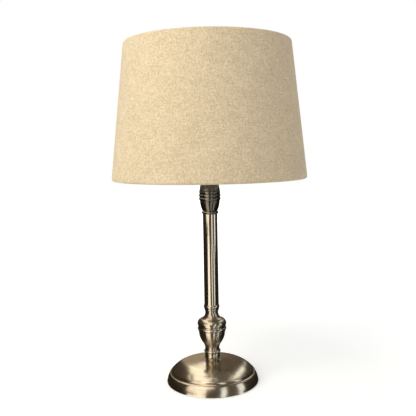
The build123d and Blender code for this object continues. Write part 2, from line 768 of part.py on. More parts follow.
def make_shade(parts):
    """Ring nut, wire frame, liner and fabric cover."""
    nut = ring(nut_ring_bore, nut_ring_radius, nut_ring_bottom, nut_ring_bottom + nut_ring_height)
    for index in range(nut_grip_count):
        grip = Cylinder(nut_grip_radius, 2 * nut_ring_height)
        nut -= Rot(0, 0, 360 * index / nut_grip_count) * Pos(nut_ring_radius, 0, nut_ring_bottom) * grip
    parts["shade_nut"] = nut
    parts["shade_fitter"] = ring(fitter_bore_radius, fitter_radius, fitter_bottom, nut_ring_bottom)

    low = (shade_bottom_radius - roll_radius, shade_bottom + roll_radius)
    high = (shade_top_radius - roll_radius, shade_top - roll_radius)
    slant = math.hypot(high[0] - low[0], high[1] - low[1])
    up_wall = ((high[0] - low[0]) / slant, (high[1] - low[1]) / slant)
    lean = math.atan2(-up_wall[0], up_wall[1])
    low_ring = Pos(0, 0, low[1]) * Torus(low[0], wire_radius)
    parts["shade_bottom_ring"] = low_ring
    parts["shade_top_ring"] = Pos(0, 0, high[1]) * Torus(high[0], wire_radius)

    def round_wire(centre, radius, turn):
        """Point on the fabric's roll round a wire, turned in degrees from square to the wall outwards."""
        angle = lean + math.radians(turn)
        return (centre[0] + radius * math.cos(angle), centre[1] + radius * math.sin(angle))

    bare = roll_radius - fabric_thickness
    cover = turned(
        round_wire(low, roll_radius, 0),
        round_wire(high, roll_radius, 0),
        (round_wire(high, roll_radius, hem_wrap / 2), round_wire(high, roll_radius, hem_wrap)),
        round_wire(high, bare, hem_wrap),
        (round_wire(high, bare, hem_wrap / 2), round_wire(high, bare, 0)),
        round_wire(low, bare, 0),
        (round_wire(low, bare, -hem_wrap / 2), round_wire(low, bare, -hem_wrap)),
        round_wire(low, roll_radius, -hem_wrap),
        (round_wire(low, roll_radius, -hem_wrap / 2), round_wire(low, roll_radius, 0)),
    )

    # Arms rise from the lower ring to the fitter, and the fabric's lower roll is cut round each
    arm_start = (low[0] - wire_radius / 2, low[1])
    arm_end = (fitter_radius - arm_radius, fitter_bottom + fitter_thickness / 2)
    arm_length = math.hypot(arm_end[0] - arm_start[0], arm_end[1] - arm_start[1])
    arm_slope = math.degrees(math.atan2(arm_end[1] - arm_start[1], arm_start[0] - arm_end[0]))
    arm_place = Pos(arm_start[0], 0, arm_start[1]) * Rot(0, arm_slope - 90, 0)
    fitter_disc = Pos(0, 0, fitter_bottom) * Cylinder(fitter_radius, 8 * arm_radius)
    bar = arm_place * Cylinder(arm_radius, arm_length, align=from_end) - low_ring - fitter_disc
    notch = arm_place * Cylinder(arm_radius + arm_clearance, 3 * roll_radius, align=from_end)
    arms = []
    for index in range(arm_count):
        turn = Rot(0, 0, 90 + 360 * index / arm_count)
        arms.append(turn * bar)
        cover -= turn * notch
    parts["shade_arms"] = Compound(children=arms)
    parts["shade_cover"] = cover

    def on_wall(along, out):
        """Point in the wall's section: how far up from the lower wire, and out from the wires' line."""
        return (
            low[0] + along * up_wall[0] + out * math.cos(lean),
            low[1] + along * up_wall[1] + out * math.sin(lean),
        )

    liner_outer = bare - liner_gap
    liner_inner = liner_outer - liner_thickness
    liner_start = roll_radius + hem_margin
    liner_end = slant - roll_radius - hem_margin
    parts["shade_liner"] = turned(
        on_wall(liner_start, liner_inner),
        on_wall(liner_start, liner_outer),
        on_wall(liner_end, liner_outer),
        on_wall(liner_end, liner_inner),
    )


def make_bulb(parts):
    """Slim screw bulb: contact, insulator, cap, glass, stem and filaments."""
    insulator_bottom = bulb_bottom + contact_button_height
    parts["bulb_contact"] = ring(0, contact_button_radius, bulb_bottom, insulator_bottom)
    parts["bulb_insulator"] = turned(
        (0, insulator_bottom),
        (insulator_foot_radius, insulator_bottom),
        (insulator_top_radius, bulb_cap_bottom),
        (0, bulb_cap_bottom),
    )
    thread_top = bulb_cap_bottom + cap_thread_height
    cap_bore = cap_thread_radius - cap_wall
    collar_bore = cap_collar_radius - cap_wall
    parts["bulb_cap"] = turned(
        (0, bulb_cap_bottom),
        (insulator_top_radius, bulb_cap_bottom),
        (cap_thread_radius, bulb_cap_bottom + cap_thread_radius - insulator_top_radius),
        (cap_thread_radius, thread_top),
        (cap_collar_radius, bulb_cap_top),
        (collar_bore, bulb_cap_top),
        (cap_bore, thread_top),
        (cap_bore, bulb_cap_bottom + cap_thread_radius - insulator_top_radius + cap_wall),
        (insulator_top_radius - cap_wall, bulb_cap_bottom + cap_wall),
        (0, bulb_cap_bottom + cap_wall),
    )

    glass_bottom = bulb_cap_top - glass_seat_depth
    widest = bulb_cap_top + glass_widest_height
    tip = bulb_cap_top + glass_tip_height

    def glass_line(inset):
        """Neck, belly and pointed tip of the glass, moved inwards."""
        neck = glass_neck_radius - inset
        belly = glass_radius - inset
        point = glass_tip_radius - inset / 2
        shoulder = (neck + glass_shoulder_share * (belly - neck), (bulb_cap_top + widest) / 2)
        flank = (point + glass_flank_share * (belly - point), (widest + tip) / 2)
        round_tip = (point * math.sqrt(0.5), tip - point + point * math.sqrt(0.5))
        return [
            (neck, bulb_cap_top),
            (shoulder, (belly, widest)),
            (flank, (point, tip - point)),
            (round_tip, (0, tip - inset / 2)),
        ]

    outer_line = glass_line(0)
    inner_line = glass_line(glass_wall)
    parts["bulb_glass"] = turned(
        (glass_neck_radius, glass_bottom),
        *outer_line,
        inner_line[-1][1],
        *reversed_line(inner_line[0], inner_line[1:]),
        (glass_neck_radius - glass_wall, glass_bottom),
    )
    stem_disc_top = glass_bottom + stem_disc_thickness
    stem_top = stem_disc_top + stem_height
    plate_bottom = stem_top - stem_plate_thickness
    parts["bulb_stem"] = turned(
        (0, glass_bottom),
        (glass_neck_radius - glass_wall - glass_fit, glass_bottom),
        (glass_neck_radius - glass_wall - glass_fit, stem_disc_top),
        (stem_radius, stem_disc_top),
        (stem_radius, plate_bottom),
        (stem_plate_radius, plate_bottom),
        (stem_plate_radius, stem_top),
        (0, stem_top),
    )
    hub_bottom = stem_top + filament_height
    hub_radius = filament_circle_radius + filament_radius + hub_margin
    hub = ring(0, hub_radius, hub_bottom, hub_bottom + hub_thickness)
    for index in range(filament_count):
        strip = Cylinder(filament_radius, filament_height, align=from_end)
        hub += Rot(0, 0, 360 * index / filament_count) * Pos(filament_circle_radius, 0, stem_top) * strip
    parts["bulb_filaments"] = hub


def main():
    """Build every piece and write it under its own name."""
    parts = {}
    make_foot(parts)
    make_clamp(parts)
    make_wiring(parts)
    make_stem(parts)
    make_lampholder(parts)
    make_shade(parts)
    make_bulb(parts)
    os.makedirs("parts", exist_ok=True)
    for name, piece in parts.items():
        export_step(piece, f"parts/{name}.step")
        print(name, round(piece.volume, 1))


main()
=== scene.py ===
# Looks of a table lamp: satin antique brass, a felted oatmeal shade, a switched lampholder and a slim bulb.
# Metres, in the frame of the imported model: +Z up, the stem on the Z axis, the felt's underside at height 0.
import logging
import math
from dataclasses import dataclass, field
from enum import Enum

import bmesh
import bpy
import numpy as np
from mathutils import Matrix, Vector


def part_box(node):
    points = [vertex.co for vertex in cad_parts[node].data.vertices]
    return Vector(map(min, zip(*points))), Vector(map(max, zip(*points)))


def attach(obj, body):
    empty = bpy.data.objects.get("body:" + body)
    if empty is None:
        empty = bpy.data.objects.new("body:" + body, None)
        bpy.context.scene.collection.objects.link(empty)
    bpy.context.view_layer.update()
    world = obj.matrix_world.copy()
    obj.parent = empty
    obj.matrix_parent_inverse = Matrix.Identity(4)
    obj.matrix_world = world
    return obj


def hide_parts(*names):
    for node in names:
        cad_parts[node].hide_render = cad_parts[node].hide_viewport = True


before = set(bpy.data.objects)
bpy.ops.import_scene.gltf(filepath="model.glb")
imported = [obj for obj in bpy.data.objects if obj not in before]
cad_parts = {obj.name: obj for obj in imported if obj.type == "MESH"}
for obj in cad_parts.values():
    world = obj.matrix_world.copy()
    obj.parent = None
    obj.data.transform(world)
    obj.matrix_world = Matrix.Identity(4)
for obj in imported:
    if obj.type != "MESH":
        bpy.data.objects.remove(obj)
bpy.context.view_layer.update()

LOG = logging.getLogger("lamp")

Point = tuple[float, float]
Colour = tuple[float, float, float]

# Sampling of sections: the longest chord and the fewest chords of an arc, and the step of a divided run
ARC_STEP = 0.0004
ARC_LEAST = 6
CLIMB_STEP = 0.0003

# Easing of corners: the turn that counts as sharp, points for each corner, and the most of a side it takes
SHARP_TURN = math.radians(18)
EASE_STEPS = 5
EASE_SHARE = 0.45

# Meshes: the sharpest turn that is shaded smooth, and the gap within which points become one
SMOOTH_TURN = math.radians(50)
MERGE_GAP = 1e-7

# Mean of a noise
NOISE_MEAN = 0.5

# Sockets of a Mix node that blends colours: the share, both ends and the result
MIX_SHARE = 0
MIX_FIRST = 6
MIX_SECOND = 7
MIX_RESULT = 2


class Body(Enum):
    """Bodies of the lamp that carry new pieces."""

    STAND = "stand"
    SHADE = "shade"
    BULB = "bulb"


class Section:
    """Outline of a turned piece in the plane of radius and height, as complex numbers radius + i height."""

    def __init__(self, radius: float, height: float) -> None:
        """Starts the outline at a point."""
        self.runs: list[np.ndarray] = [np.array([complex(radius, height)])]

    def to(self, radius: float, height: float) -> "Section":
        """Adds a straight run to a point and returns the section."""
        self.runs.append(np.array([complex(radius, height)]))
        return self

    def climb(self, radius: float, height: float) -> "Section":
        """Adds a straight run to a point, divided into equal short steps.

        Args:
            radius: the point's radius.
            height: the point's height.

        Returns:
            The section, so that runs can be chained.
        """
        start = self.runs[-1][-1]
        end = complex(radius, height)
        steps = math.ceil(abs(end - start) / CLIMB_STEP)
        self.runs.append(start + (end - start) * np.arange(1, steps + 1) / steps)
        return self

    def arc(self, through: Point, end: Point) -> "Section":
        """Adds an arc from the last point a over b to c.

        The centre is the circumcentre a + (b - a)(w - |w|^2) / (2i Im w) with w = (c - a) / (b - a). The
        points are the centre plus a's spoke turned by equal steps, the way round that passes b.

        Args:
            through: point b, as radius and height.
            end: point c, as radius and height.

        Returns:
            The section, so that runs can be chained.
        """
        a = self.runs[-1][-1]
        b = complex(*through)
        c = complex(*end)
        w = (c - a) / (b - a)
        centre = a + (b - a) * (w - abs(w) ** 2) / (2j * w.imag)
        half_turn = float(np.angle((b - centre) / (a - centre)))
        turn = float(np.angle((c - centre) / (a - centre)))
        if abs(turn) < abs(half_turn) or turn * half_turn < 0:
            turn += math.copysign(2 * math.pi, half_turn)
        steps = max(ARC_LEAST, math.ceil(abs(turn) * abs(a - centre) / ARC_STEP))
        self.runs.append(centre + (a - centre) * np.exp(1j * np.linspace(0, turn, steps + 1)[1:]))
        return self

    def loop(self, ease: float) -> np.ndarray:
        """Closed outline whose sharp corners are eased by a parabola.

        A corner p between the points p - e u and p + e v becomes the Bezier curve of those three points,
        where u and v are the directions into and out of the corner.

        Args:
            ease: how far along each side the easing reaches.

        Returns:
            Complex points of the loop, the first not repeated.
        """
        line = np.concatenate(self.runs)
        before = line - np.roll(line, 1)
        after = np.roll(line, -1) - line
        sharp = np.abs(np.angle(after / before)) > SHARP_TURN
        reach = np.minimum(ease, EASE_SHARE * np.minimum(abs(before), abs(after)))
        start = line - reach * before / abs(before)
        end = line + reach * after / abs(after)
        share = np.linspace(0, 1, EASE_STEPS)
        curve = np.outer(start, (1 - share) ** 2)
        curve += np.outer(line, 2 * share * (1 - share))
        curve += np.outer(end, share**2)
        curve[~sharp] = line[~sharp, None]
        kept = sharp[:, None] | (np.arange(EASE_STEPS) == EASE_STEPS // 2)
        return curve[kept]


def hollows(line: np.ndarray, reach: float) -> np.ndarray:
    """How deep each point of a closed outline lies in a hollow, from -1 on a crest to 1 in a groove.

    It is twice the distance, along the outward normal, from the point to the mean of its neighbours, over the
    width of the bell curve that weights each neighbour by its distance along the outline.

    Args:
        line: complex points of a closed outline.
        reach: width of the bell curve.

    Returns:
        One value for each point.
    """
    steps = abs(np.roll(line, -1) - line)
    along = np.concatenate([[0.0], np.cumsum(steps)[:-1]])
    apart = abs(along[:, None] - along[None, :])
    apart = np.minimum(apart, steps.sum() - apart)
    weight = np.exp(-0.5 * (apart / reach) ** 2) * (steps + np.roll(steps, 1))[None, :]
    mean = weight @ line / weight.sum(axis=1)
    tangent = np.roll(line, -1) - np.roll(line, 1)
    area = 0.5 * np.sum((np.conj(line) * np.roll(line, -1)).imag)
    normal = -1j * math.copysign(1.0, area) * tangent / abs(tangent)
    depth = ((mean - line) * np.conj(normal)).real / reach
    return np.clip(2 * depth, -1, 1)


def surface(
    name: str,
    points: np.ndarray,
    loop_rows: bool = True,
    loop_columns: bool = True,
    hollow: np.ndarray | None = None,
    flat: np.ndarray | None = None,
) -> bpy.types.Object:
    """Makes an object from a grid of points, one quad between each four neighbours.

    Args:
        name: the object's name.
        points: array of rows by columns by 3.
        loop_rows: whether the last row joins the first.
        loop_columns: whether the last column joins the first.
        hollow: one value for each row, kept as the attribute "hollow".
        flat: array of rows by columns by 2 for the UV map, one more of each where the grid is looped.

    Returns:
        The object, in the scene, smooth-shaded, with its faces pointing outwards.
    """
    rows, columns = points.shape[:2]
    row = np.arange(rows + loop_rows)
    column = np.arange(columns + loop_columns)
    index = (row % rows)[:, None] * columns + (column % columns)[None, :]
    corners = ((0, 0), (0, 1), (1, 1), (1, 0))
    last_row = index.shape[0] - 1
    last_column = index.shape[1] - 1

    def quads(values: np.ndarray) -> np.ndarray:
        """The four corner values of every quad of a grid."""
        return np.stack([values[i : i + last_row, j : j + last_column] for i, j in corners], axis=2)

    mesh = bpy.data.meshes.new(name)
    mesh.from_pydata(points.reshape(-1, 3), [], quads(index).reshape(-1, 4))
    if hollow is not None:
        values = np.repeat(hollow, columns).astype(np.float32)
        mesh.attributes.new("hollow", "FLOAT", "POINT").data.foreach_set("value", values)
    if flat is not None:
        mesh.uv_layers.new(name="cloth").uv.foreach_set("vector", quads(flat).astype(np.float32).ravel())
    work = bmesh.new()
    work.from_mesh(mesh)
    bmesh.ops.remove_doubles(work, verts=work.verts, dist=MERGE_GAP)
    bmesh.ops.recalc_face_normals(work, faces=work.faces)
    work.to_mesh(mesh)
    work.free()
    mesh.polygons.foreach_set("use_smooth", np.ones(len(mesh.polygons), bool))
    mesh.set_sharp_from_angle(angle=SMOOTH_TURN)
    made = bpy.data.objects.new(name, mesh)
    bpy.context.scene.collection.objects.link(made)
    return made


def turned_points(line: np.ndarray, angles: np.ndarray) -> np.ndarray:
    """Grid of the points (r cos a, r sin a, z) for each r + i z of a line and each angle a.

    Args:
        line: complex points radius + i height.
        angles: angles round the stem's axis.

    Returns:
        Array of points by angles by 3.
    """
    points = np.empty((len(line), len(angles), 3))
    points[..., 0] = np.outer(line.real, np.cos(angles))
    points[..., 1] = np.outer(line.real, np.sin(angles))
    points[..., 2] = line.imag[:, None]
    return points


def round_angles(segments: int) -> np.ndarray:
    """Equal angles round the stem's axis."""
    return 2 * math.pi * np.arange(segments) / segments


def lathe(name: str, line: np.ndarray, segments: int, reach: float) -> bpy.types.Object:
    """Turns a closed outline about the stem's axis.

    Args:
        name: the object's name.
        line: complex points radius + i height of a closed outline.
        segments: number of steps round the axis.
        reach: width over which hollows and crests are told apart.

    Returns:
        The turned object.
    """
    return surface(name, turned_points(line, round_angles(segments)), hollow=hollows(line, reach))


@dataclass(frozen=True)
class Thread:
    """Heights, pitch and depth of a thread, and the radius outside which walls take it."""

    bottom: float
    top: float
    pitch: float
    depth: float
    inside: float


def threaded(name: str, line: np.ndarray, segments: int, thread: Thread) -> bpy.types.Object:
    """Turns a closed outline about the stem's axis and rolls a right-hand thread into its walls.

    Where the outline lies in the thread's range of heights and radii, the radius is less by depth times
    (1 - cos 2 pi t) / 2, where t is the height over the pitch less the angle over a whole turn. The groove
    fades in and out over one pitch.

    Args:
        name: the object's name.
        line: complex points radius + i height of a closed outline.
        segments: number of steps round the axis.
        thread: the thread.

    Returns:
        The threaded object.
    """
    angles = round_angles(segments)
    height = line.imag[:, None]
    turn = (height - thread.bottom) / thread.pitch - angles[None, :] / (2 * math.pi)
    fade = np.clip(np.minimum(height - thread.bottom, thread.top - height) / thread.pitch, 0, 1)
    walls = line.real[:, None] > thread.inside
    cut = walls * fade * thread.depth * (1 - np.cos(2 * math.pi * turn)) / 2
    points = turned_points(line, angles)
    points[..., :2] *= 1 - (cut / np.maximum(line.real, MERGE_GAP)[:, None])[..., None]
    return surface(name, points)


class Value:
    """Socket of a node tree; sums, differences, products and powers of values add Math nodes."""

    def __init__(self, nodes: "Nodes", socket: bpy.types.NodeSocket) -> None:
        """Wraps an output socket."""
        self.nodes = nodes
        self.socket = socket

    def _math(self, operation: str, first: "Value | float", second: "Value | float") -> "Value":
        """Adds a Math node."""
        return self.nodes.add("ShaderNodeMath", {"operation": operation}, {0: first, 1: second})

    def __add__(self, other: "Value | float") -> "Value":
        """Sum."""
        return self._math("ADD", self, other)

    __radd__ = __add__

    def __sub__(self, other: "Value | float") -> "Value":
        """Difference."""
        return self._math("SUBTRACT", self, other)

    def __rsub__(self, other: float) -> "Value":
        """Difference from a number."""
        return self._math("SUBTRACT", other, self)

    def __mul__(self, other: "Value | float") -> "Value":
        """Product."""
        return self._math("MULTIPLY", self, other)

    __rmul__ = __mul__

    def __pow__(self, other: float) -> "Value":
        """Power."""
        return self._math("POWER", self, other)


class Nodes:
    """Node tree of one material or of the world."""

    def __init__(self, tree: bpy.types.NodeTree) -> None:
        """Takes an empty tree over."""
        tree.nodes.clear()
        self.tree = tree

    def add(
        self, kind: str, settings: dict | None = None, inputs: dict | None = None, output: int | str = 0
    ) -> Value | None:
        """Adds a node.

        Args:
            kind: the node's type.
            settings: properties to set first.
            inputs: values or links of its sockets, by name or number.
            output: the output to return.

        Returns:
            The chosen output, or None from a node that has no outputs.
        """
        node = self.tree.nodes.new(kind)
        for key, value in (settings or {}).items():
            setattr(node, key, value)
        for key, value in (inputs or {}).items():
            if isinstance(value, Value):
                self.tree.links.new(value.socket, node.inputs[key])
            else:
                node.inputs[key].default_value = value
        return Value(self, node.outputs[output]) if node.outputs else None

    def place(self) -> Value:
        """Object coordinates, in metres."""
        return self.add("ShaderNodeTexCoord", output="Object")

    def split(self, vector: Value) -> tuple[Value, Value, Value]:
        """The three parts of a vector."""
        first = self.add("ShaderNodeSeparateXYZ", inputs={0: vector})
        return tuple(Value(self, socket) for socket in first.socket.node.outputs)

    def join(self, x: Value | float, y: Value | float, z: Value | float) -> Value:
        """Vector of three parts."""
        return self.add("ShaderNodeCombineXYZ", inputs={0: x, 1: y, 2: z})

    def noise(self, place: Value, size: float, detail: float = 2.0, rough: float = 0.5) -> Value:
        """Smooth noise about 0.5 whose largest grains have the given size."""
        inputs = {"Vector": place, "Scale": 1 / size, "Detail": detail, "Roughness": rough}
        return self.add("ShaderNodeTexNoise", inputs=inputs)

    def mix(self, share: Value, first: Colour, second: Colour) -> Value:
        """Colour between two colours."""
        inputs = {MIX_SHARE: share, MIX_FIRST: (*first, 1.0), MIX_SECOND: (*second, 1.0)}
        return self.add("ShaderNodeMix", {"data_type": "RGBA"}, inputs, output=MIX_RESULT)

    def limit(self, value: Value) -> Value:
        """Value held between 0 and 1."""
        return self.add("ShaderNodeClamp", inputs={"Value": value, "Min": 0.0, "Max": 1.0})

    def bump(self, height: Value, depth: float, strength: float = 1.0) -> Value:
        """Normal of a relief of the given depth."""
        return self.add("ShaderNodeBump", inputs={"Height": height, "Distance": depth, "Strength": strength})

    def principled(self, **inputs: Value | float | tuple) -> Value:
        """Principled surface; the sockets' names are given with underscores."""
        named = {key.replace("_", " "): value for key, value in inputs.items()}
        return self.add("ShaderNodeBsdfPrincipled", inputs=named)


def blank_material(name: str) -> tuple[bpy.types.Material, Nodes]:
    """Makes a material with an empty node tree.

    Args:
        name: the material's name.

    Returns:
        The material and its nodes.
    """
    made = bpy.data.materials.new(name)
    made.use_nodes = True
    return made, Nodes(made.node_tree)


@dataclass(frozen=True)
class Finish:
    """Finish of a surface. Its material is made once and shared by its pieces."""

    slot: str
    tone: str = field(default="", kw_only=True)

    def shader(self, nodes: Nodes) -> Value:
        """Adds the finish's nodes.

        Args:
            nodes: the material's nodes.

        Returns:
            The surface.
        """
        raise NotImplementedError

    def material(self) -> bpy.types.Material:
        """Makes the finish's material, or finds it where it was made before.

        Returns:
            The material.
        """
        name = "finish_" + self.slot + self.tone
        found = bpy.data.materials.get(name)
        if found:
            return found
        made, nodes = blank_material(name)
        nodes.add("ShaderNodeOutputMaterial", inputs={"Surface": self.shader(nodes)})
        return made


@dataclass(frozen=True)
class TurnedBrass(Finish):
    """Antique brass brushed on the lathe: fine rings, dark in the grooves and rubbed bright on the crests."""

    rubbed: Colour = (0.58, 0.495, 0.375)
    aged: Colour = (0.30, 0.245, 0.178)
    mean_age: float = 0.36
    groove_age: float = 0.8
    cloud_age: float = 0.35
    cloud_size: float = 0.022
    ring_size: float = 0.0005
    ring_drift: float = 18.0
    ring_slant: float = 0.6
    ring_depth: float = 0.00001
    ring_tone: float = 0.6
    ring_gloss: float = 0.06
    age_gloss: float = 0.05
    roughness: float = 0.23
    stretch: float = 0.6
    across_rings: float = 0.25

    def shader(self, nodes: Nodes) -> Value:
        """Rings are noise over (radius, height), so they run round the stem on every slope.

        Args:
            nodes: the material's nodes.

        Returns:
            The surface.
        """
        place = nodes.place()
        x, y, z = nodes.split(place)
        radius = (x * x + y * y) ** 0.5
        drift = self.ring_drift * self.ring_size
        across = nodes.join(radius, z, (x + self.ring_slant * y) * drift)
        rings = nodes.noise(across, self.ring_size, detail=4.0, rough=0.65)
        clouds = nodes.noise(place, self.cloud_size, detail=3.0, rough=0.6)
        hollow = nodes.add("ShaderNodeAttribute", {"attribute_name": "hollow"}, output="Fac")
        ring_swing = rings - NOISE_MEAN
        shape_age = self.mean_age + self.groove_age * hollow
        age = nodes.limit(shape_age + self.cloud_age * (clouds - NOISE_MEAN) + self.ring_tone * ring_swing)
        gloss_loss = self.ring_gloss * ring_swing
        return nodes.principled(
            Base_Color=nodes.mix(age, self.rubbed, self.aged),
            Metallic=1.0,
            Roughness=nodes.limit(self.roughness + gloss_loss + self.age_gloss * (age - self.mean_age)),
            Anisotropic=self.stretch,
            Anisotropic_Rotation=self.across_rings,
            Normal=nodes.bump(rings, self.ring_depth, strength=0.5),
        )


@dataclass(frozen=True)
class Cloth(Finish):
    """Felted melange: pale and dark fibres in flecks, over a close weave that follows the cloth's UV map."""

    pale: Colour
    dark: Colour
    fleck_size: float = 0.0020
    fleck_contrast: float = 2.35
    fleck_relief: float = 0.6
    cloud_size: float = 0.016
    cloud_contrast: float = 0.35
    thread: float = 0.0011
    thread_run: float = 0.0085
    weft_layer: float = 3.7
    weave: float = 0.99
    relief: float = 0.00035
    sheen: float = 0.25

    def shader(self, nodes: Nodes) -> Value:
        """Warp and weft are noise drawn out along the cloth's two directions, laid over flecks and clouds.

        Args:
            nodes: the material's nodes.

        Returns:
            The surface.
        """
        place = nodes.place()
        across, up, _ = nodes.split(nodes.add("ShaderNodeUVMap", {"uv_map": "cloth"}))
        draw = self.thread / self.thread_run
        warp = nodes.noise(nodes.join(across, up * draw, 0.0), self.thread)
        weft = nodes.noise(nodes.join(across * draw, up, self.weft_layer), self.thread)
        weave = 0.5 * (warp + weft)
        flecks = nodes.noise(place, self.fleck_size, detail=4.0, rough=0.74)
        clouds = nodes.noise(place, self.cloud_size)
        shade = NOISE_MEAN + self.fleck_contrast * (flecks - NOISE_MEAN)
        shade += self.cloud_contrast * (clouds - NOISE_MEAN)
        shade += self.weave * (weave - NOISE_MEAN)
        height = self.fleck_relief * flecks + (1 - self.fleck_relief) * weave
        return nodes.principled(
            Base_Color=nodes.mix(nodes.limit(shade), self.dark, self.pale),
            Roughness=0.9,
            Specular_IOR_Level=0.15,
            Sheen_Weight=self.sheen,
            Sheen_Roughness=0.45,
            Sheen_Tint=(0.95, 0.88, 0.75, 1.0),
            Normal=nodes.bump(height, self.relief, strength=0.6),
        )


@dataclass(frozen=True)
class Plated(Finish):
    """Plain metal: plated, drawn or cast, with dull patches and a fine grain."""

    clean: Colour
    dull: Colour
    roughness: float = 0.3
    grain_size: float = 0.0009
    patch_size: float = 0.006
    relief: float = 0.00003
    mean_age: float = 0.4
    patch_age: float = 1.4
    grain_age: float = 0.6
    age_gloss: float = 0.3

    def shader(self, nodes: Nodes) -> Value:
        """Patches of noise dull the colour and the gloss together; a finer noise is the grain.

        Args:
            nodes: the material's nodes.

        Returns:
            The surface.
        """
        place = nodes.place()
        patches = nodes.noise(place, self.patch_size, detail=3.0)
        grain = nodes.noise(place, self.grain_size, detail=3.0)
        patch_age = self.mean_age + self.patch_age * (patches - NOISE_MEAN)
        age = nodes.limit(patch_age + self.grain_age * (grain - NOISE_MEAN))
        return nodes.principled(
            Base_Color=nodes.mix(age, self.clean, self.dull),
            Metallic=1.0,
            Roughness=nodes.limit(self.roughness + self.age_gloss * (age - self.mean_age)),
            Normal=nodes.bump(grain, self.relief),
        )


@dataclass(frozen=True)
class Moulded(Finish):
    """Plastic, glaze, enamel or board: two close colours in a soft mottle, under a fine skin."""

    colour: Colour
    mottle: Colour
    roughness: float = 0.4
    skin_size: float = 0.0007
    skin_gloss: float = 0.18
    mottle_size: float = 0.005
    mottle_contrast: float = 1.6
    relief: float = 0.00002
    coat: float = 0.0

    def shader(self, nodes: Nodes) -> Value:
        """Mottle is broad noise on the colour, and the skin is fine noise on gloss and relief.

        Args:
            nodes: the material's nodes.

        Returns:
            The surface.
        """
        place = nodes.place()
        mottle = nodes.noise(place, self.mottle_size, detail=3.0)
        skin = nodes.noise(place, self.skin_size)
        share = nodes.limit(NOISE_MEAN + self.mottle_contrast * (mottle - NOISE_MEAN))
        return nodes.principled(
            Base_Color=nodes.mix(share, self.colour, self.mottle),
            Roughness=nodes.limit(self.roughness + self.skin_gloss * (skin - NOISE_MEAN)),
            Coat_Weight=self.coat,
            Coat_Roughness=0.08,
            Normal=nodes.bump(skin, self.relief),
        )


@dataclass(frozen=True)
class Glass(Finish):
    """Clear blown glass with a faint unevenness."""

    tint: Colour = (0.84, 0.87, 0.86)
    ripple_size: float = 0.012
    ripple: float = 0.00006

    def shader(self, nodes: Nodes) -> Value:
        """Broad noise ripples the surface a little.

        Args:
            nodes: the material's nodes.

        Returns:
            The surface.
        """
        ripples = nodes.noise(nodes.place(), self.ripple_size, detail=1.0)
        return nodes.principled(
            Base_Color=(*self.tint, 1.0),
            Roughness=0.02,
            IOR=1.46,
            Transmission_Weight=1.0,
            Normal=nodes.bump(ripples, self.ripple),
        )


BRASS = TurnedBrass("antique_brass")
# Darker copy of the brass for the cup, its cover and the upper collar: partly a darker patina, partly painted
# shadow of the lampshade above them
PATINA_AND_SHADOW_BRASS = TurnedBrass(
    "antique_brass",
    rubbed=(0.18, 0.155, 0.122),
    aged=(0.06, 0.050, 0.038),
    tone="_dark",
)
DRAWN_BRASS = TurnedBrass(
    "antique_brass",
    rubbed=(0.52, 0.440, 0.340),
    aged=(0.26, 0.212, 0.158),
    ring_depth=0.0000008,
    ring_tone=0.25,
    roughness=0.16,
    stretch=0.4,
    tone="_drawn",
)
KNOP_BRASS = TurnedBrass(
    "antique_brass",
    rubbed=(0.54, 0.460, 0.350),
    aged=(0.27, 0.220, 0.162),
    ring_depth=0.000006,
    roughness=0.25,
    stretch=0.93,
    tone="_knop",
)
OATMEAL = Cloth("oatmeal_fabric", pale=(0.83, 0.69, 0.485), dark=(0.49, 0.37, 0.235))
FELT = Cloth(
    "green_felt",
    pale=(0.050, 0.082, 0.060),
    dark=(0.018, 0.034, 0.024),
    fleck_size=0.0016,
    weave=0.0,
)
BLACK = Moulded("black_plastic", (0.020, 0.019, 0.018), (0.030, 0.028, 0.026), roughness=0.38)
LINER = Moulded("white_liner", (0.80, 0.785, 0.73), (0.84, 0.825, 0.775), roughness=0.5, mottle_size=0.02)
ENAMEL = Moulded("white_wire_frame", (0.76, 0.75, 0.71), (0.82, 0.81, 0.77), roughness=0.35, relief=0.00004)
PORCELAIN = Moulded("white_porcelain", (0.80, 0.79, 0.75), (0.85, 0.84, 0.80), roughness=0.25, coat=0.6)
NYLON = Moulded("white_nylon", (0.78, 0.77, 0.70), (0.82, 0.81, 0.76), roughness=0.45)
BOARD = Moulded("fibre_board", (0.20, 0.13, 0.075), (0.27, 0.185, 0.11), roughness=0.85, mottle_size=0.003)
BROWN_WIRE = Moulded("brown_wire", (0.17, 0.065, 0.025), (0.21, 0.085, 0.035), roughness=0.3)
BLUE_WIRE = Moulded("blue_wire", (0.04, 0.14, 0.45), (0.06, 0.18, 0.52), roughness=0.3)
GREEN_WIRE = Moulded("green_wire", (0.16, 0.40, 0.05), (0.22, 0.47, 0.07), roughness=0.3)
BLACK_GLASS = Moulded("black_glass", (0.012, 0.012, 0.014), (0.022, 0.022, 0.024), roughness=0.1, coat=0.8)
PHOSPHOR = Moulded("yellow_filament", (0.78, 0.55, 0.14), (0.85, 0.66, 0.22), roughness=0.6)
BRIGHT = Plated("bright_brass", (0.78, 0.57, 0.25), (0.50, 0.34, 0.14), roughness=0.24)
ZINC = Plated("zinc_steel", (0.60, 0.60, 0.60), (0.42, 0.43, 0.44), roughness=0.34)
IRON = Plated("grey_iron", (0.16, 0.155, 0.15), (0.07, 0.065, 0.06), roughness=0.62, relief=0.00025)
NICKEL = Plated("nickel_cap", (0.66, 0.65, 0.63), (0.48, 0.47, 0.45), roughness=0.26)
CLEAR = Glass("clear_glass")


@dataclass(frozen=True)
class Span:
    """Heights and outer radius of a round node of the frame."""

    bottom: float
    top: float
    radius: float

    @classmethod
    def of(cls, node: str) -> "Span":
        """Reads a node's box."""
        low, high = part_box(node)
        return cls(low.z, high.z, high.x)


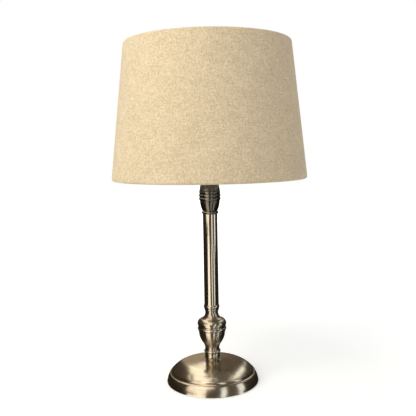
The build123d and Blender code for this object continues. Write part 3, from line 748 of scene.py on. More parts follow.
class Assembly:
    """What the sub-assemblies share: dressing nodes of the frame and putting new pieces in their place."""

    def dress(self, finish: Finish, *nodes: str) -> None:
        """Gives nodes of the frame a finish.

        Args:
            finish: the finish.
            nodes: names of the nodes.
        """
        for node in nodes:
            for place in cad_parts[node].material_slots:
                place.material = finish.material()
            LOG.info("%s: frame node, %s", node, finish.slot)

    def put(self, piece: bpy.types.Object, body: Body, finish: Finish, *nodes: str) -> bpy.types.Object:
        """Finishes a new piece and sets it on its body.

        Args:
            piece: the new object.
            body: the body that carries it.
            finish: its finish.
            nodes: the frame's nodes that it stands for.

        Returns:
            The piece.
        """
        piece.data.materials.append(finish.material())
        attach(piece, body.value)
        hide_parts(*nodes)
        LOG.info("%s: new piece on %s, %s", piece.name, body.value, finish.slot)
        return piece


def toward(centre: complex, radius: float, point: complex) -> complex:
    """Point of a circle in the direction of another point."""
    return centre + radius * (point - centre) / abs(point - centre)


def pair(point: complex) -> Point:
    """Radius and height of a complex point."""
    return point.real, point.imag


@dataclass
class Foot(Assembly):
    """Weighted foot: spun shell, felt, and the pieces inside it."""

    skirt_inset: float = 0.0043
    skirt_height: float = 0.0119
    skirt_bulge: float = 0.0006
    cove_radius: float = 0.0039
    edge_slope: float = math.radians(43.3)
    edge_run: float = 0.0120
    seat_slope: float = math.radians(4.5)
    seat_radius: float = 0.0125
    bore: float = 0.0052
    wall: float = 0.0010
    edge_ease: float = 0.00045
    inlet_radius: float = 0.0039
    inlet_height: float = 0.0064
    felt_round: float = 0.0006
    reach: float = 0.0016
    segments: int = 256
    drill_segments: int = 48

    def outer_line(self, section: Section, span: Span) -> Section:
        """Adds the shell's outer outline from its rim to its seat.

        The dome is two arcs that meet smoothly: the tangents at both ends, edge_run and seat_run long, are
        joined by a line that touches both arcs where it is divided in the ratio of the runs.

        Args:
            section: section that ends at the rim.
            span: the shell's heights and radius.

        Returns:
            The section, now ending at the seat's edge.
        """
        skirt_top = complex(span.radius - self.skirt_inset, span.bottom + self.skirt_height)
        rim = complex(span.radius, span.bottom)
        lean = (skirt_top - rim) / abs(skirt_top - rim)
        section.arc(pair((rim + skirt_top) / 2 - 1j * lean * self.skirt_bulge), pair(skirt_top))
        cove = skirt_top + 1j * self.cove_radius
        edge = skirt_top + complex(-self.cove_radius, self.cove_radius)
        section.arc(pair(cove + self.cove_radius * complex(-1, -1) / math.sqrt(2)), pair(edge))
        up_dome = -np.exp(-1j * self.edge_slope)
        to_seat = -np.exp(-1j * self.seat_slope)
        seat = complex(self.seat_radius, span.top)
        corner = edge + self.edge_run * up_dome
        gap = seat - corner
        along = (gap * np.conj(to_seat)).real
        seat_run = (abs(gap) ** 2 - self.edge_run**2) / (2 * (self.edge_run + along))
        far_corner = seat - seat_run * to_seat
        joint = corner + (far_corner - corner) * self.edge_run / (self.edge_run + seat_run)
        joint_slope = -np.angle(-(far_corner - corner))
        shoulder = self.edge_run / math.tan((self.edge_slope - joint_slope) / 2)
        crown = seat_run / math.tan((joint_slope - self.seat_slope) / 2)
        shoulder_centre = edge - shoulder * 1j * np.exp(-1j * self.edge_slope)
        crown_centre = seat - crown * 1j * np.exp(-1j * self.seat_slope)
        section.arc(pair(toward(shoulder_centre, shoulder, (edge + joint) / 2)), pair(joint))
        return section.arc(pair(toward(crown_centre, crown, (joint + seat) / 2)), pair(seat))

    def inlet_drill(self, span: Span) -> bpy.types.Object:
        """Cylinder along +Y at the inlet, from half the foot's radius to well outside it.

        Args:
            span: the shell's heights and radius.

        Returns:
            The closed cylinder.
        """
        edge = complex(self.inlet_radius, span.radius)
        line = np.array([0j, edge.real + 0j, edge, 1j * edge.imag])
        points = turned_points(line, round_angles(self.drill_segments))
        drill = surface("inlet_drill", points, loop_rows=False)
        lying = Matrix.Rotation(-math.pi / 2, 4, "X")
        drill.data.transform(Matrix.Translation((0, span.radius / 2, self.inlet_height)) @ lying)
        return drill

    def shell_piece(self) -> bpy.types.Object:
        """Shell whose inner face is the outer one moved in by the wall, with the inlet bored through it.

        Returns:
            The piece.
        """
        span = Span.of("base_shell")
        section = self.outer_line(Section(span.radius, span.bottom), span).to(self.bore, span.top)
        outer = np.concatenate(section.runs)
        tangent = np.gradient(outer)
        inner = outer + 1j * self.wall * tangent / abs(tangent)
        inner.imag[0] = span.bottom
        section.runs.append(inner[::-1])
        shell = lathe("foot_shell", section.loop(self.edge_ease), self.segments, self.reach)
        drill = self.inlet_drill(span)
        cut = shell.modifiers.new("inlet", "BOOLEAN")
        cut.object = drill
        cut.operation = "DIFFERENCE"
        cut.solver = "EXACT"
        bpy.context.view_layer.update()
        evaluated = shell.evaluated_get(bpy.context.evaluated_depsgraph_get())
        bored = bpy.data.meshes.new_from_object(evaluated)
        shell.modifiers.clear()
        shell.data = bored
        bpy.data.objects.remove(drill)
        return shell

    def felt_piece(self) -> bpy.types.Object:
        """Felt disc glued under the foot: two flats and a half-round edge, turned about the axis.

        Returns:
            The piece.
        """
        span = Span.of("felt_pad")
        side = span.radius - self.felt_round
        section = Section(0, span.bottom).to(side / 2, span.bottom).to(side, span.bottom)
        section.arc((span.radius, (span.bottom + span.top) / 2), (side, span.top)).to(0, span.top)
        line = section.loop(0.0)
        points = turned_points(line, round_angles(self.segments))
        flat = np.pad(points[..., :2], ((0, 1), (0, 1), (0, 0)), mode="wrap")
        return surface("foot_felt", points, flat=flat)

    def build(self) -> None:
        """Builds and dresses the foot."""
        self.put(self.shell_piece(), Body.STAND, BRASS, "base_shell")
        felt = self.put(self.felt_piece(), Body.STAND, FELT, "felt_pad")
        radius = Span.of("felt_pad").radius
        self.dress(BOARD, "bottom_cover")
        self.dress(IRON, "base_weight")
        self.dress(ZINC, "threaded_rod", "clamp_washer", "lock_nut")
        self.dress(BLACK, "cord_bush")
        self.dress(BRIGHT, "earth_tag", "block_screws")
        self.dress(NYLON, "terminal_block")
        self.dress(BROWN_WIRE, "live_lead")
        self.dress(BLUE_WIRE, "neutral_lead")
        self.dress(GREEN_WIRE, "earth_lead")


@dataclass
class Stem(Assembly):
    """Turned brass pieces stacked on the rod, from the foot ring to the cup."""

    bore: float = 0.0052
    ease: float = 0.00022
    reach: float = 0.0011
    segments: int = 160
    ring_radius: float = 0.0092
    ring_bulge: float = 0.0008
    undercut_depth: float = 0.0008
    undercut_height: float = 0.0011
    groove_depth: float = 0.0006
    groove_height: float = 0.0014
    flange_height: float = 0.0026
    flange_round: float = 0.0007
    vase_neck_radius: float = 0.0094
    vase_neck_height: float = 0.0024
    bowl_arc: float = 0.0260
    band_radius: float = 0.0179
    bead_height: float = 0.0036
    shoulder_arc: float = 0.0064
    shoulder_widest: float = 0.0034
    shoulder_neck_radius: float = 0.0085
    shoulder_neck_height: float = 0.0180
    collar_margin: float = 0.0001
    lower_lip: float = 0.0017
    upper_lip: float = 0.0004
    tube_wall: float = 0.0010
    cup_foot_radius: float = 0.0099
    cup_bowl_radius: float = 0.0129
    cup_bowl_height: float = 0.0134
    cup_groove_radius: float = 0.0133
    cup_bead_height: float = 0.0043
    cup_bead_proud: tuple[float, ...] = (0.0008, 0.0009, 0.0004)
    cup_top_radius: float = 0.0106
    cup_dome_bulge: float = 0.0005
    finishes: dict[str, Finish] = field(
        default_factory=lambda: {
            "foot_ring": DRAWN_BRASS,
            "lower_collar": DRAWN_BRASS,
            "column_tube": DRAWN_BRASS,
            # Painted shadow of the lampshade, partly a darker patina, on the upper collar and the cup
            "upper_collar": PATINA_AND_SHADOW_BRASS,
            "urn_cup": PATINA_AND_SHADOW_BRASS,
        }
    )

    @staticmethod
    def neck_centre(bulge: complex, bulge_radius: float, neck_radius: float, neck_height: float) -> complex:
        """Centre of the hollow arc of a neck that runs smoothly into a bulge.

        The arc's radius is (d^2 - R^2) / (2 (R - dx)), where d goes from the bulge's centre to the neck, dx
        is its part outwards and R is the bulge's radius.

        Args:
            bulge: centre of the bulge's arc.
            bulge_radius: radius of the bulge's arc.
            neck_radius: the neck's least radius.
            neck_height: height of the neck's least radius.

        Returns:
            The hollow arc's centre.
        """
        reach = complex(neck_radius, neck_height) - bulge
        radius = (abs(reach) ** 2 - bulge_radius**2) / (2 * (bulge_radius - reach.real))
        return complex(neck_radius + radius, neck_height)

    def foot_ring(self, span: Span) -> Section:
        """Undercut, barrel, groove and rounded flange on the dome's seat.

        Args:
            span: the piece's heights and radius.

        Returns:
            The closed section.
        """
        flange_bottom = span.top - self.flange_height
        groove_bottom = flange_bottom - self.groove_height
        groove_radius = self.ring_radius - self.groove_depth
        undercut_radius = self.ring_radius - self.undercut_depth
        barrel_bottom = span.bottom + self.undercut_height
        barrel = (self.ring_radius + self.ring_bulge, (barrel_bottom + groove_bottom) / 2)
        edge = span.radius - self.flange_round
        section = Section(self.bore, span.bottom).to(undercut_radius, span.bottom)
        section.to(undercut_radius, barrel_bottom).to(self.ring_radius, barrel_bottom)
        section.arc(barrel, (self.ring_radius, groove_bottom)).to(groove_radius, groove_bottom)
        section.to(groove_radius, flange_bottom).to(edge, flange_bottom)
        section.arc((span.radius, span.top - self.flange_height / 2), (edge, span.top))
        return section.to(self.bore, span.top)

    def lower_vase(self, span: Span) -> Section:
        """Hollow neck that swells into a bowl, two arcs that meet smoothly.

        Args:
            span: the piece's heights and radius.

        Returns:
            The closed section.
        """
        bowl = complex(span.radius - self.bowl_arc, span.top)
        neck_height = span.bottom + self.vase_neck_height
        neck = self.neck_centre(bowl, self.bowl_arc, self.vase_neck_radius, neck_height)
        neck_arc = neck.real - self.vase_neck_radius
        joint = toward(bowl, self.bowl_arc, neck)
        rim = complex(span.radius, span.top)
        foot_radius = neck.real - math.sqrt(neck_arc**2 - self.vase_neck_height**2)
        section = Section(self.bore, span.bottom).to(foot_radius, span.bottom)
        section.arc((self.vase_neck_radius, neck_height), pair(joint))
        section.arc(pair(toward(bowl, self.bowl_arc, (joint + rim) / 2)), pair(rim))
        return section.to(self.bore, span.top)

    def knop_band(self, span: Span) -> Section:
        """Plain band with one bead round its middle.

        Args:
            span: the piece's heights and radius.

        Returns:
            The closed section.
        """
        middle = (span.bottom + span.top) / 2
        half = self.bead_height / 2
        section = Section(self.bore, span.bottom).to(self.band_radius, span.bottom)
        section.to(self.band_radius, middle - half)
        section.arc((span.radius, middle), (self.band_radius, middle + half))
        return section.to(self.band_radius, span.top).to(self.bore, span.top)

    def vase_shoulder(self, span: Span) -> Section:
        """Round shoulder that draws in to a hollow neck, two arcs that meet smoothly.

        Args:
            span: the piece's heights and radius.

        Returns:
            The closed section.
        """
        bulge = complex(span.radius - self.shoulder_arc, span.bottom + self.shoulder_widest)
        neck_height = span.bottom + self.shoulder_neck_height
        neck = self.neck_centre(bulge, self.shoulder_arc, self.shoulder_neck_radius, neck_height)
        neck_arc = neck.real - self.shoulder_neck_radius
        joint = toward(bulge, self.shoulder_arc, neck)
        foot = complex(bulge.real + math.sqrt(self.shoulder_arc**2 - self.shoulder_widest**2), span.bottom)
        head_radius = neck.real - math.sqrt(neck_arc**2 - (span.top - neck_height) ** 2)
        section = Section(self.bore, span.bottom).to(*pair(foot))
        section.arc(pair(toward(bulge, self.shoulder_arc, (foot + joint) / 2)), pair(joint))
        section.arc((self.shoulder_neck_radius, neck_height), (head_radius, span.top))
        return section.to(self.bore, span.top)

    def collar(self, span: Span, tube: Span) -> Section:
        """Beaded collar with a spigot inside the tube, under it or over it.

        Args:
            span: the collar's heights and radius.
            tube: the tube's heights and radius.

        Returns:
            The closed section.
        """
        radius = tube.radius + self.collar_margin
        spigot = tube.radius - self.tube_wall - self.collar_margin
        if span.bottom < tube.bottom:
            lip = span.bottom + self.lower_lip
            section = Section(self.bore, span.bottom).to(radius, span.bottom).to(radius, lip)
            section.arc((span.radius, (lip + tube.bottom) / 2), (radius, tube.bottom))
            return section.to(spigot, tube.bottom).to(spigot, span.top).to(self.bore, span.top)
        lip = span.top - self.upper_lip
        section = Section(self.bore, span.bottom).to(spigot, span.bottom)
        section.to(spigot, tube.top).to(radius, tube.top)
        section.arc((span.radius, (tube.top + lip) / 2), (radius, lip)).to(radius, span.top)
        return section.to(self.bore, span.top)

    def column_tube(self, span: Span) -> Section:
        """Plain drawn tube.

        Args:
            span: the piece's heights and radius.

        Returns:
            The closed section.
        """
        inside = span.radius - self.tube_wall
        section = Section(inside, span.bottom).to(span.radius, span.bottom)
        return section.to(span.radius, span.top).to(inside, span.top)

    def urn_cup(self, span: Span) -> Section:
        """Bowl, three beads and a domed top, each an arc.

        Args:
            span: the piece's heights and radius.

        Returns:
            The closed section.
        """
        rim = complex(self.cup_bowl_radius, span.bottom + self.cup_bowl_height)
        widening = self.cup_bowl_radius - self.cup_foot_radius
        arc = (self.cup_bowl_height**2 + widening**2) / (2 * widening)
        foot = complex(self.cup_foot_radius, span.bottom)
        section = Section(self.bore, span.bottom).to(*pair(foot))
        section.arc(pair(toward(rim - arc, arc, (foot + rim) / 2)), pair(rim))
        section.to(self.cup_groove_radius, rim.imag)
        level = rim.imag
        for proud in self.cup_bead_proud:
            crest = (self.cup_groove_radius + proud, level + self.cup_bead_height / 2)
            level += self.cup_bead_height
            section.arc(crest, (self.cup_groove_radius, level))
        dome = complex(self.cup_groove_radius + self.cup_top_radius, level + span.top) / 2
        dome += self.cup_dome_bulge * (1 + 1j)
        return section.arc(pair(dome), (self.cup_top_radius, span.top)).to(self.bore, span.top)

    def build(self) -> None:
        """Turns every piece of the stem."""
        tube = Span.of("column_tube")
        sections = {
            "foot_ring": self.foot_ring(Span.of("foot_ring")),
            "lower_vase": self.lower_vase(Span.of("lower_vase")),
            "knop_band": self.knop_band(Span.of("knop_band")),
            "vase_shoulder": self.vase_shoulder(Span.of("vase_shoulder")),
            "lower_collar": self.collar(Span.of("lower_collar"), tube),
            "column_tube": self.column_tube(tube),
            "upper_collar": self.collar(Span.of("upper_collar"), tube),
            "urn_cup": self.urn_cup(Span.of("urn_cup")),
        }
        for node, section in sections.items():
            piece = lathe("turned_" + node, section.loop(self.ease), self.segments, self.reach)
            self.put(piece, Body.STAND, self.finishes.get(node, KNOP_BRASS), node)
        # The cup's cover takes the same darker brass: partly patina, partly painted shadow of the lampshade
        self.dress(PATINA_AND_SHADOW_BRASS, "cup_cover")


@dataclass
class Lampholder(Assembly):
    """Switched lampholder and the ring nut that holds the shade."""

    thread_radius: float = 0.0195
    thread_pitch: float = 0.0025
    thread_depth: float = 0.0008
    thread_margin: float = 0.0004
    bore: float = 0.0158
    lip_radius: float = 0.0145
    lip_thickness: float = 0.0015
    spigot_radius: float = 0.0174
    spigot_depth: float = 0.0040
    flange_thickness: float = 0.0020
    ease: float = 0.0003
    segments: int = 160

    def sleeve_piece(self) -> bpy.types.Object:
        """Threaded sleeve with the flange that carries the shade's ring.

        Returns:
            The piece.
        """
        span = Span.of("holder_skirt")
        flange = span.bottom + self.spigot_depth
        seat = flange + self.flange_thickness
        section = Section(self.lip_radius, span.bottom).to(self.spigot_radius, span.bottom)
        section.to(self.spigot_radius, flange).to(span.radius, flange).to(span.radius, seat)
        section.to(self.thread_radius, seat).climb(self.thread_radius, span.top).to(self.bore, span.top)
        section.to(self.bore, span.bottom + self.lip_thickness)
        section.to(self.lip_radius, span.bottom + self.lip_thickness)
        inside = (self.bore + self.spigot_radius) / 2
        margin = self.thread_margin
        thread = Thread(seat + margin, span.top - margin, self.thread_pitch, self.thread_depth, inside)
        return threaded("threaded_sleeve", section.loop(self.ease), self.segments, thread)

    def build(self) -> None:
        """Threads the sleeve and dresses the rest of the lampholder."""
        self.put(self.sleeve_piece(), Body.STAND, BLACK, "holder_skirt")
        self.dress(BLACK, "holder_cap", "switch_block", "switch_bar", "shade_nut")
        self.dress(PORCELAIN, "holder_core")
        self.dress(BRIGHT, "screw_shell", "centre_contact", "holder_terminals")


@dataclass
class Shade(Assembly):
    """Wire frame, stiff liner and felted cloth with rolled edges."""

    cloth: float = 0.0009
    roll: float = 0.0027
    wrap: float = math.radians(270)
    wall_rows: int = 56
    roll_rows: int = 22
    segments: int = 420
    seam_angle: float = math.radians(90)
    seam_rise: float = 0.0005
    seam_edge: float = 0.0003
    seam_lap: float = 0.0110
    seam_fade: float = 0.0140

    def cover_line(self, bottom: Point, top: Point) -> tuple[np.ndarray, np.ndarray]:
        """Closed outline of the cloth: up the wall, round the top wire, down inside, round the bottom wire.

        A point of a roll is the wire's centre plus a spoke, turned by an angle from the wall's normal.

        Args:
            bottom: centre of the bottom wire, as radius and height.
            top: centre of the top wire.

        Returns:
            The outline's complex points, and for each how much it faces outwards on the cloth's outer skin.
        """
        low = complex(*bottom)
        high = complex(*top)
        out = -1j * (high - low) / abs(high - low)
        inside = self.roll - self.cloth
        rise = np.linspace(0, 1, self.wall_rows)
        turns = np.exp(1j * np.linspace(0, self.wrap, self.roll_rows))
        outer_wall = low + (high - low) * rise + out * self.roll
        inner_wall = (low + (high - low) * rise + out * inside)[::-1]
        runs = [
            (outer_wall, 1.0),
            ((high + out * self.roll * turns)[1:], 1.0),
            ((high + out * inside * turns)[::-1], 0.0),
            (inner_wall[1:-1], 0.0),
            (low + out * inside * np.conj(turns), 0.0),
            ((low + out * self.roll * np.conj(turns))[::-1][:-1], 1.0),
        ]
        skin = np.concatenate([np.full(len(run), outer) for run, outer in runs])
        line = np.concatenate([run for run, _ in runs])
        tangent = np.roll(line, -1) - np.roll(line, 1)
        facing = np.clip((-1j * tangent / abs(tangent)).real, 0, 1)
        return line, skin * facing

    def cover_piece(self) -> bpy.types.Object:
        """Cloth carried round the shade, with its glued lap at the back.

        The lap lifts the outer skin by seam_rise at its edge, holds it over the lap's width and lets it fade.

        Returns:
            The piece.
        """
        low_ring = Span.of("shade_bottom_ring")
        high_ring = Span.of("shade_top_ring")
        wire = (low_ring.top - low_ring.bottom) / 2
        low = (low_ring.radius - wire, low_ring.bottom + wire)
        high = (high_ring.radius - wire, high_ring.bottom + wire)
        line, skin = self.cover_line(low, high)
        radius = low_ring.radius
        lap = np.array([0.0, self.seam_edge, self.seam_lap, self.seam_lap + self.seam_fade]) / radius
        past_edge = np.linspace(lap[1], 2 * math.pi, self.segments, endpoint=False)[1:]
        angles = np.concatenate([lap[:2], past_edge])
        lift = self.seam_rise * np.interp(angles, lap, [0, 1, 1, 0])
        turned = self.seam_angle + angles
        points = turned_points(line, turned)
        spokes = np.stack([np.cos(turned), np.sin(turned)], axis=1)
        points[..., :2] += skin[:, None, None] * lift[None, :, None] * spokes[None, :, :]
        steps = abs(np.diff(np.append(line, line[0])))
        along = np.concatenate([[0.0], np.cumsum(steps)])
        around = np.append(angles, 2 * math.pi) * radius
        flat = np.stack(np.broadcast_arrays(around[None, :], along[:, None]), axis=2)
        return surface("shade_cloth", points, flat=flat)

    def cut_size(self) -> tuple[float, float, float]:
        """Size of the cloth before it is put on, with a hem for each roll.

        A cone with the radii R and r and the slant s, laid flat, is a ring sector. Its outer radius is
        s R / (R - r), and its half angle is pi R over that.

        Returns:
            The sector's width, length and area.
        """
        bottom = Span.of("shade_bottom_ring")
        top = Span.of("shade_top_ring")
        slant = math.hypot(bottom.radius - top.radius, bottom.top - top.top)
        hems = 2 * self.roll * self.wrap
        mean_round = math.pi * (bottom.radius + top.radius)
        far = slant * bottom.radius / (bottom.radius - top.radius)
        half_angle = math.pi * bottom.radius / far
        width = 2 * far * math.sin(half_angle)
        length = far - (far - slant) * math.cos(half_angle) + hems
        return width, length, mean_round * (slant + hems)

    def build(self) -> None:
        """Builds the cloth and dresses the frame under it."""
        cover = self.put(self.cover_piece(), Body.SHADE, OATMEAL, "shade_cover")
        width, length, area = self.cut_size()
        self.dress(LINER, "shade_liner")
        self.dress(ENAMEL, "shade_fitter", "shade_arms", "shade_bottom_ring", "shade_top_ring")


@dataclass
class Bulb(Assembly):
    """Slim screw bulb."""

    cap_radius: float = 0.0129
    cap_foot_radius: float = 0.0110
    cap_wall: float = 0.0005
    cap_straight: float = 0.0160
    thread_pitch: float = 0.003629
    thread_depth: float = 0.0009
    thread_start: float = 0.0012
    thread_length: float = 0.0118
    ease: float = 0.0003
    segments: int = 160

    def cap_piece(self) -> bpy.types.Object:
        """Thin cap with a rolled thread that ends under the glass's neck.

        Returns:
            The piece.
        """
        span = Span.of("bulb_cap")
        chamfer = self.cap_radius - self.cap_foot_radius
        straight_top = span.bottom + self.cap_straight
        floor = span.bottom + self.cap_wall
        section = Section(0, span.bottom).to(self.cap_foot_radius, span.bottom)
        section.climb(self.cap_radius, span.bottom + chamfer).climb(self.cap_radius, straight_top)
        section.to(span.radius, span.top).to(span.radius - self.cap_wall, span.top)
        section.to(self.cap_radius - self.cap_wall, straight_top)
        section.climb(self.cap_radius - self.cap_wall, floor + chamfer)
        section.climb(self.cap_foot_radius - self.cap_wall, floor).to(0, floor)
        start = span.bottom + self.thread_start
        end = start + self.thread_length
        inside = self.cap_foot_radius - chamfer
        thread = Thread(start, end, self.thread_pitch, self.thread_depth, inside)
        return threaded("threaded_cap", section.loop(self.ease), self.segments, thread)

    def build(self) -> None:
        """Threads the cap and dresses the rest of the bulb."""
        self.put(self.cap_piece(), Body.BULB, NICKEL, "bulb_cap")
        self.dress(BRIGHT, "bulb_contact")
        self.dress(BLACK_GLASS, "bulb_insulator")
        self.dress(CLEAR, "bulb_glass", "bulb_stem")
        self.dress(PHOSPHOR, "bulb_filaments")


@dataclass(frozen=True)
class Panel:
    """Soft light panel that is neither seen nor mirrored.

    Its azimuth is 0 on the camera's side and grows to the right.
    """

    name: str
    azimuth: float
    distance: float
    width: float
    low: float
    high: float
    brightness: float
    colour: Colour

    def light(self) -> None:
        """Adds the panel, upright and facing the stem. Its power is pi times its brightness and its area."""
        height = self.high - self.low
        data = bpy.data.lights.new(self.name, "AREA")
        data.shape = "RECTANGLE"
        data.size = self.width
        data.size_y = height
        data.color = self.colour
        data.energy = math.pi * self.brightness * self.width * height
        panel = bpy.data.objects.new(self.name, data)
        angle = math.radians(self.azimuth)
        outward = Vector((math.sin(angle), -math.cos(angle), 0))
        panel.rotation_euler = (-outward).to_track_quat("-Z", "Y").to_matrix().to_euler()
        panel.location = outward * self.distance + Vector((0, 0, (self.low + self.high) / 2))
        panel.visible_camera = False
        panel.visible_glossy = False
        bpy.context.scene.collection.objects.link(panel)


@dataclass(frozen=True)
class Card:
    """Card that only metal and gloss mirror, part of the lining of a tent round the object.

    A row is an elevation with the card's left and right azimuths there, in degrees. Elevations below 0 lie on
    the floor, from the tent's wall at 0 in to the object's foot at -90. Where a level is given, the card lies
    flat at that height, and its rows start with radii.
    """

    name: str
    colour: Colour
    rows: tuple[tuple[float, float, float], ...]
    level: float | None = None


# Heights of the flat cards under the shade. They are painted reflections: the brass below mirrors them in
# place of the shade's inside, lit on the left, dim on the right and at the hub
CANOPY = 0.2545
UNDER_CANOPY = 0.2540


@dataclass
class Studio:
    """Pale floor, white surroundings, one soft panel, cards that metal mirrors, and the camera."""

    image_width: float = 416.0
    focal: float = 591.5
    sensor: float = 36.0
    eye: tuple[float, float, float] = (0.0, -0.766, 0.310)
    pitch: float = math.radians(5.85)
    yaw: float = math.radians(-0.19)
    roll: float = math.radians(1.0)
    floor_size: float = 8.0
    floor_colour: Colour = (0.86, 0.86, 0.86)
    floor_glow: float = 0.30
    floor_fade: float = 1.1
    floor_hold: float = 0.25
    card_near: float = 0.0615
    card_far: float = 1.35
    card_height: float = 1.55
    card_lift: float = 0.0005
    card_step: float = 3.0
    card_columns: int = 24
    ambient: float = 0.64
    key: Panel = Panel(
        "key_panel",
        azimuth=-48,
        distance=1.05,
        width=0.96,
        low=0.42,
        high=2.40,
        brightness=3.0,
        colour=(1.0, 0.98, 0.84),
    )
    cards: tuple[Card, ...] = (
        Card(
            "bright_window",
            (2.12, 2.05, 1.85),
            (
                (-90, -34, -9), (-86, -50, -14), (-77, -54, -16), (-70, -50, -16), (-10, -46, -16),
                (3.2, -46, -16), (5, -36, -26), (7.5, -36, -26), (9, -68, -18), (28, -65, -16),
                (36, -53, 2), (44, -42, 6), (52, -38, 9), (57, -40, 6), (64, -48, -8),
            ),
        ),
        Card(
            "bright_ceiling",
            (2.42, 2.31, 2.06),
            (
                (29, -180, -167), (38, -182, -160), (46, -184, -148), (50, -182, -142), (51, -180, -84),
                (64, -174, -66), (64.5, -174, -12), (72, -160, -24), (82, -140, -60),
            ),
        ),
        # Flat cards under the shade: painted reflections of the shade's lit and dim inside, mirrored only by
        # the brass below
        Card(
            "bright_canopy",
            (2.30, 2.20, 1.98),
            ((0.018, -36, -7), (0.056, -42, -7), (0.068, -150, -12), (0.085, -160, -32), (0.128, -165, 2)),
            level=CANOPY,
        ),
        Card(
            "dim_canopy",
            (0.185, 0.173, 0.160),
            ((0.018, -7, 324), (0.056, -7, 318), (0.068, -12, 210), (0.085, -32, 200), (0.128, 2, 195)),
            level=CANOPY,
        ),
        Card("dim_hub", (0.20, 0.18, 0.155), ((0.0105, -180, 180), (0.018, -180, 180)), level=CANOPY),
        Card(
            "canopy_bar",
            (1.50, 1.62, 1.65),
            ((0.018, 13, 20), (0.056, 14, 22), (0.090, 16, 24)),
            level=UNDER_CANOPY,
        ),
        Card(
            "front_floor_bar",
            (1.35, 1.50, 1.60),
            ((-90, 10, 15.5), (-86, 12, 22), (-77, 10, 23), (-70, 8, 22), (-10, 8, 22), (0, 19, 31)),
        ),
        Card("front_bar", (1.90, 2.15, 2.38), ((0, 19, 31), (30, 21, 35))),
        Card(
            "side_floor_bar",
            (1.30, 1.45, 1.55),
            ((-90, 34, 40.5), (-86, 48, 60), (-77, 48, 62), (-70, 44, 62), (-10, 44, 62), (0, 66, 82)),
        ),
        Card("side_bar", (1.80, 2.02, 2.20), ((0, 66, 82), (26, 64, 82))),
        Card(
            "high_window",
            (2.20, 2.30, 2.25),
            (
                (28, 145, 155), (34, 138, 151), (40, 130, 147), (46, 112, 139), (50, 103, 135), (54, 96, 122),
                (58, 82, 112), (64, 74, 90),
            ),
        ),
        Card(
            "dark_left",
            (0.075, 0.058, 0.042),
            (
                (9, -164, -68), (28, -164, -65), (36, -162, -53), (46, -148, -41), (54, -142, -39),
                (54.5, -72, -39), (62, -70, -46),
            ),
        ),
        Card(
            "dark_floor_left",
            (0.034, 0.027, 0.020),
            (
                (-90, -168, -34), (-86, -168, -50), (-77, -168, -54), (-70, -168, -50), (-10, -168, -46),
                (3.2, -166, -46), (5, -166, -36), (7.5, -164, -36), (9, -164, -68),
            ),
        ),
        Card(
            "dark_front",
            (0.120, 0.098, 0.076),
            (
                (-90, -9, 10), (-86, -14, 12), (-77, -16, 10), (-70, -16, 8), (-10, -16, 8), (0, -16, 19),
                (3.2, -16, 19), (5, -26, 19), (7.5, -26, 20), (9, -18, 20), (28, -16, 21), (36, 2, 30),
                (52, 9, 40), (57, 6, 44),
            ),
        ),
        Card(
            "dark_right",
            (0.150, 0.125, 0.098),
            (
                (-90, 15.5, 34), (-86, 22, 48), (-77, 23, 48), (-70, 22, 44), (-10, 22, 44), (0, 31, 66),
                (26, 35, 64), (31, 35, 112), (46, 38, 110), (50, 40, 101), (57, 44, 82),
            ),
        ),
        Card(
            "dark_back_right",
            (0.055, 0.045, 0.034),
            ((0, 82, 166), (26, 82, 150), (32, 100, 141), (45, 112, 114)),
        ),
        Card(
            "dark_floor_right",
            (0.028, 0.023, 0.018),
            ((-90, 40.5, 168), (-86, 60, 168), (-77, 62, 168), (-10, 62, 168), (0, 82, 166)),
        ),
        Card(
            "dim_back",
            (0.50, 0.42, 0.31),
            ((-90, -180, -168), (0, -180, -164), (16, -180, -164), (29, -180, -167)),
        ),
        Card(
            "dark_back",
            (0.13, 0.10, 0.07),
            ((-90, 168, 180), (0, 166, 180), (28, 155, 180), (40, 147, 180), (50, 135, 180), (57, 112, 180)),
        ),
        Card("dim_ceiling", (0.36, 0.30, 0.23), ((57, 6, 186), (90, -100, 200))),
    )

    def seen(self, nodes: Nodes) -> Value:
        """1 for what the eye, metal and glass see directly, 0 for light that is scattered.

        Args:
            nodes: the nodes of a material or of the world.

        Returns:
            The value.
        """
        path = nodes.add("ShaderNodeLightPath", output="Is Camera Ray").socket.node.outputs
        rays = ("Is Camera Ray", "Is Glossy Ray", "Is Transmission Ray")
        camera, glossy, through = (Value(nodes, path[ray]) for ray in rays)
        return nodes.limit(camera + glossy + through)

    def world(self) -> None:
        """White to the eye, and a dimmer even light on the object."""
        made = bpy.data.worlds.new("studio")
        made.use_nodes = True
        nodes = Nodes(made.node_tree)
        strength = self.ambient + (1 - self.ambient) * self.seen(nodes)
        shine = nodes.add("ShaderNodeBackground", inputs={"Color": (1, 1, 1, 1), "Strength": strength})
        nodes.add("ShaderNodeOutputWorld", inputs={"Surface": shine})
        bpy.context.scene.world = made

    def floor(self) -> None:
        """Pale floor that takes the shadow near the object and fades into the white surroundings."""
        half = self.floor_size / 2
        side = np.array([-half, half])
        points = np.stack([*np.meshgrid(side, side, indexing="ij"), np.zeros((2, 2))], axis=2)
        floor = surface("studio_floor", points, loop_rows=False, loop_columns=False)
        made, nodes = blank_material("studio_floor")
        x, y, _ = nodes.split(nodes.place())
        away = nodes.limit((x * x + y * y) ** 0.5 * self.floor_fade - self.floor_hold)
        glow_share = self.floor_glow + (1 - self.floor_glow) * away
        glow = nodes.add("ShaderNodeEmission", inputs={"Strength": self.seen(nodes) * glow_share})
        paint = nodes.add("ShaderNodeBsdfDiffuse", inputs={"Color": (*self.floor_colour, 1.0)})
        both = nodes.add("ShaderNodeAddShader", inputs={0: glow, 1: paint})
        nodes.add("ShaderNodeOutputMaterial", inputs={"Surface": both})
        floor.data.materials.append(made)

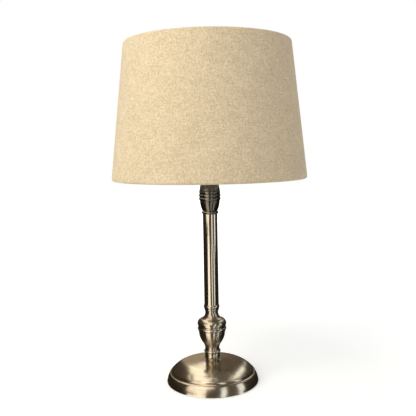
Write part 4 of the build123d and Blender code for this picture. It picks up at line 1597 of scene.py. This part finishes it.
    def lining(self, rise: np.ndarray) -> np.ndarray:
        """Tent's outline, as radius + i height, at some elevations.

        Above 0 it is an ellipse in polar form, 1 / sqrt((cos e / far)^2 + (sin e / height)^2) away from the
        origin. Below 0 it is the floor, and the radius falls evenly to card_near at -90.

        Args:
            rise: elevations in degrees.

        Returns:
            Complex points, just above the floor.
        """
        up = np.radians(np.clip(rise, 0, 90))
        reach = 1 / np.hypot(np.cos(up) / self.card_far, np.sin(up) / self.card_height)
        inward = np.clip(-rise / 90, 0, 1) * (self.card_far - self.card_near)
        return reach * np.exp(1j * up) - inward + 1j * self.card_lift

    def mirrored_cards(self) -> None:
        """Lines the tent: each card's azimuths change evenly from row to row along the tent's outline."""
        share = np.linspace(0, 1, self.card_columns)
        for card in self.cards:
            levels, left, right = np.array(card.rows).T
            rise = np.union1d(levels, np.arange(levels[0], levels[-1], self.card_step))
            start = np.interp(rise, levels, left)
            end = np.interp(rise, levels, right)
            angles = np.radians(np.outer(start, 1 - share) + np.outer(end, share)) - math.pi / 2
            outline = self.lining(rise) if card.level is None else rise + 1j * card.level
            spoke = np.broadcast_to(outline[:, None], angles.shape)
            points = np.stack([spoke.real * np.cos(angles), spoke.real * np.sin(angles), spoke.imag], axis=2)
            sheet = surface(card.name, points, loop_rows=False, loop_columns=False)
            made, nodes = blank_material(card.name)
            shine = nodes.add("ShaderNodeEmission", inputs={"Color": (*card.colour, 1.0)})
            nodes.add("ShaderNodeOutputMaterial", inputs={"Surface": shine})
            sheet.data.materials.append(made)
            sheet.visible_camera = False
            sheet.visible_diffuse = False
            sheet.visible_shadow = False
            sheet.visible_transmission = False

    def camera(self) -> None:
        """Camera in front of the object: level, then turned by yaw, pitch and roll."""
        level = math.cos(self.pitch)
        ahead = Vector((math.sin(self.yaw) * level, math.cos(self.yaw) * level, -math.sin(self.pitch)))
        right = Vector((math.cos(self.yaw), -math.sin(self.yaw), 0))
        down = ahead.cross(right)
        across = math.cos(self.roll) * right + math.sin(self.roll) * down
        below = math.cos(self.roll) * down - math.sin(self.roll) * right
        data = bpy.data.cameras.new("photo_camera")
        data.sensor_width = self.sensor
        data.lens = self.focal / self.image_width * self.sensor
        made = bpy.data.objects.new("photo_camera", data)
        axes = Matrix((across, -below, -ahead)).transposed().to_4x4()
        made.matrix_world = Matrix.Translation(self.eye) @ axes
        bpy.context.scene.collection.objects.link(made)
        bpy.context.scene.camera = made

    def build(self) -> None:
        """Sets the studio up."""
        bpy.context.scene.view_settings.view_transform = "Standard"
        self.world()
        self.floor()
        self.mirrored_cards()
        self.key.light()
        self.camera()


def main() -> None:
    """Builds the lamp's sub-assemblies in order, then the studio round them."""
    logging.basicConfig(level=logging.INFO, format="%(name)s: %(message)s")
    for part in (Foot(), Stem(), Lampholder(), Shade(), Bulb()):
        part.build()
    Studio().build()


if __name__ == "__main__":
    main()
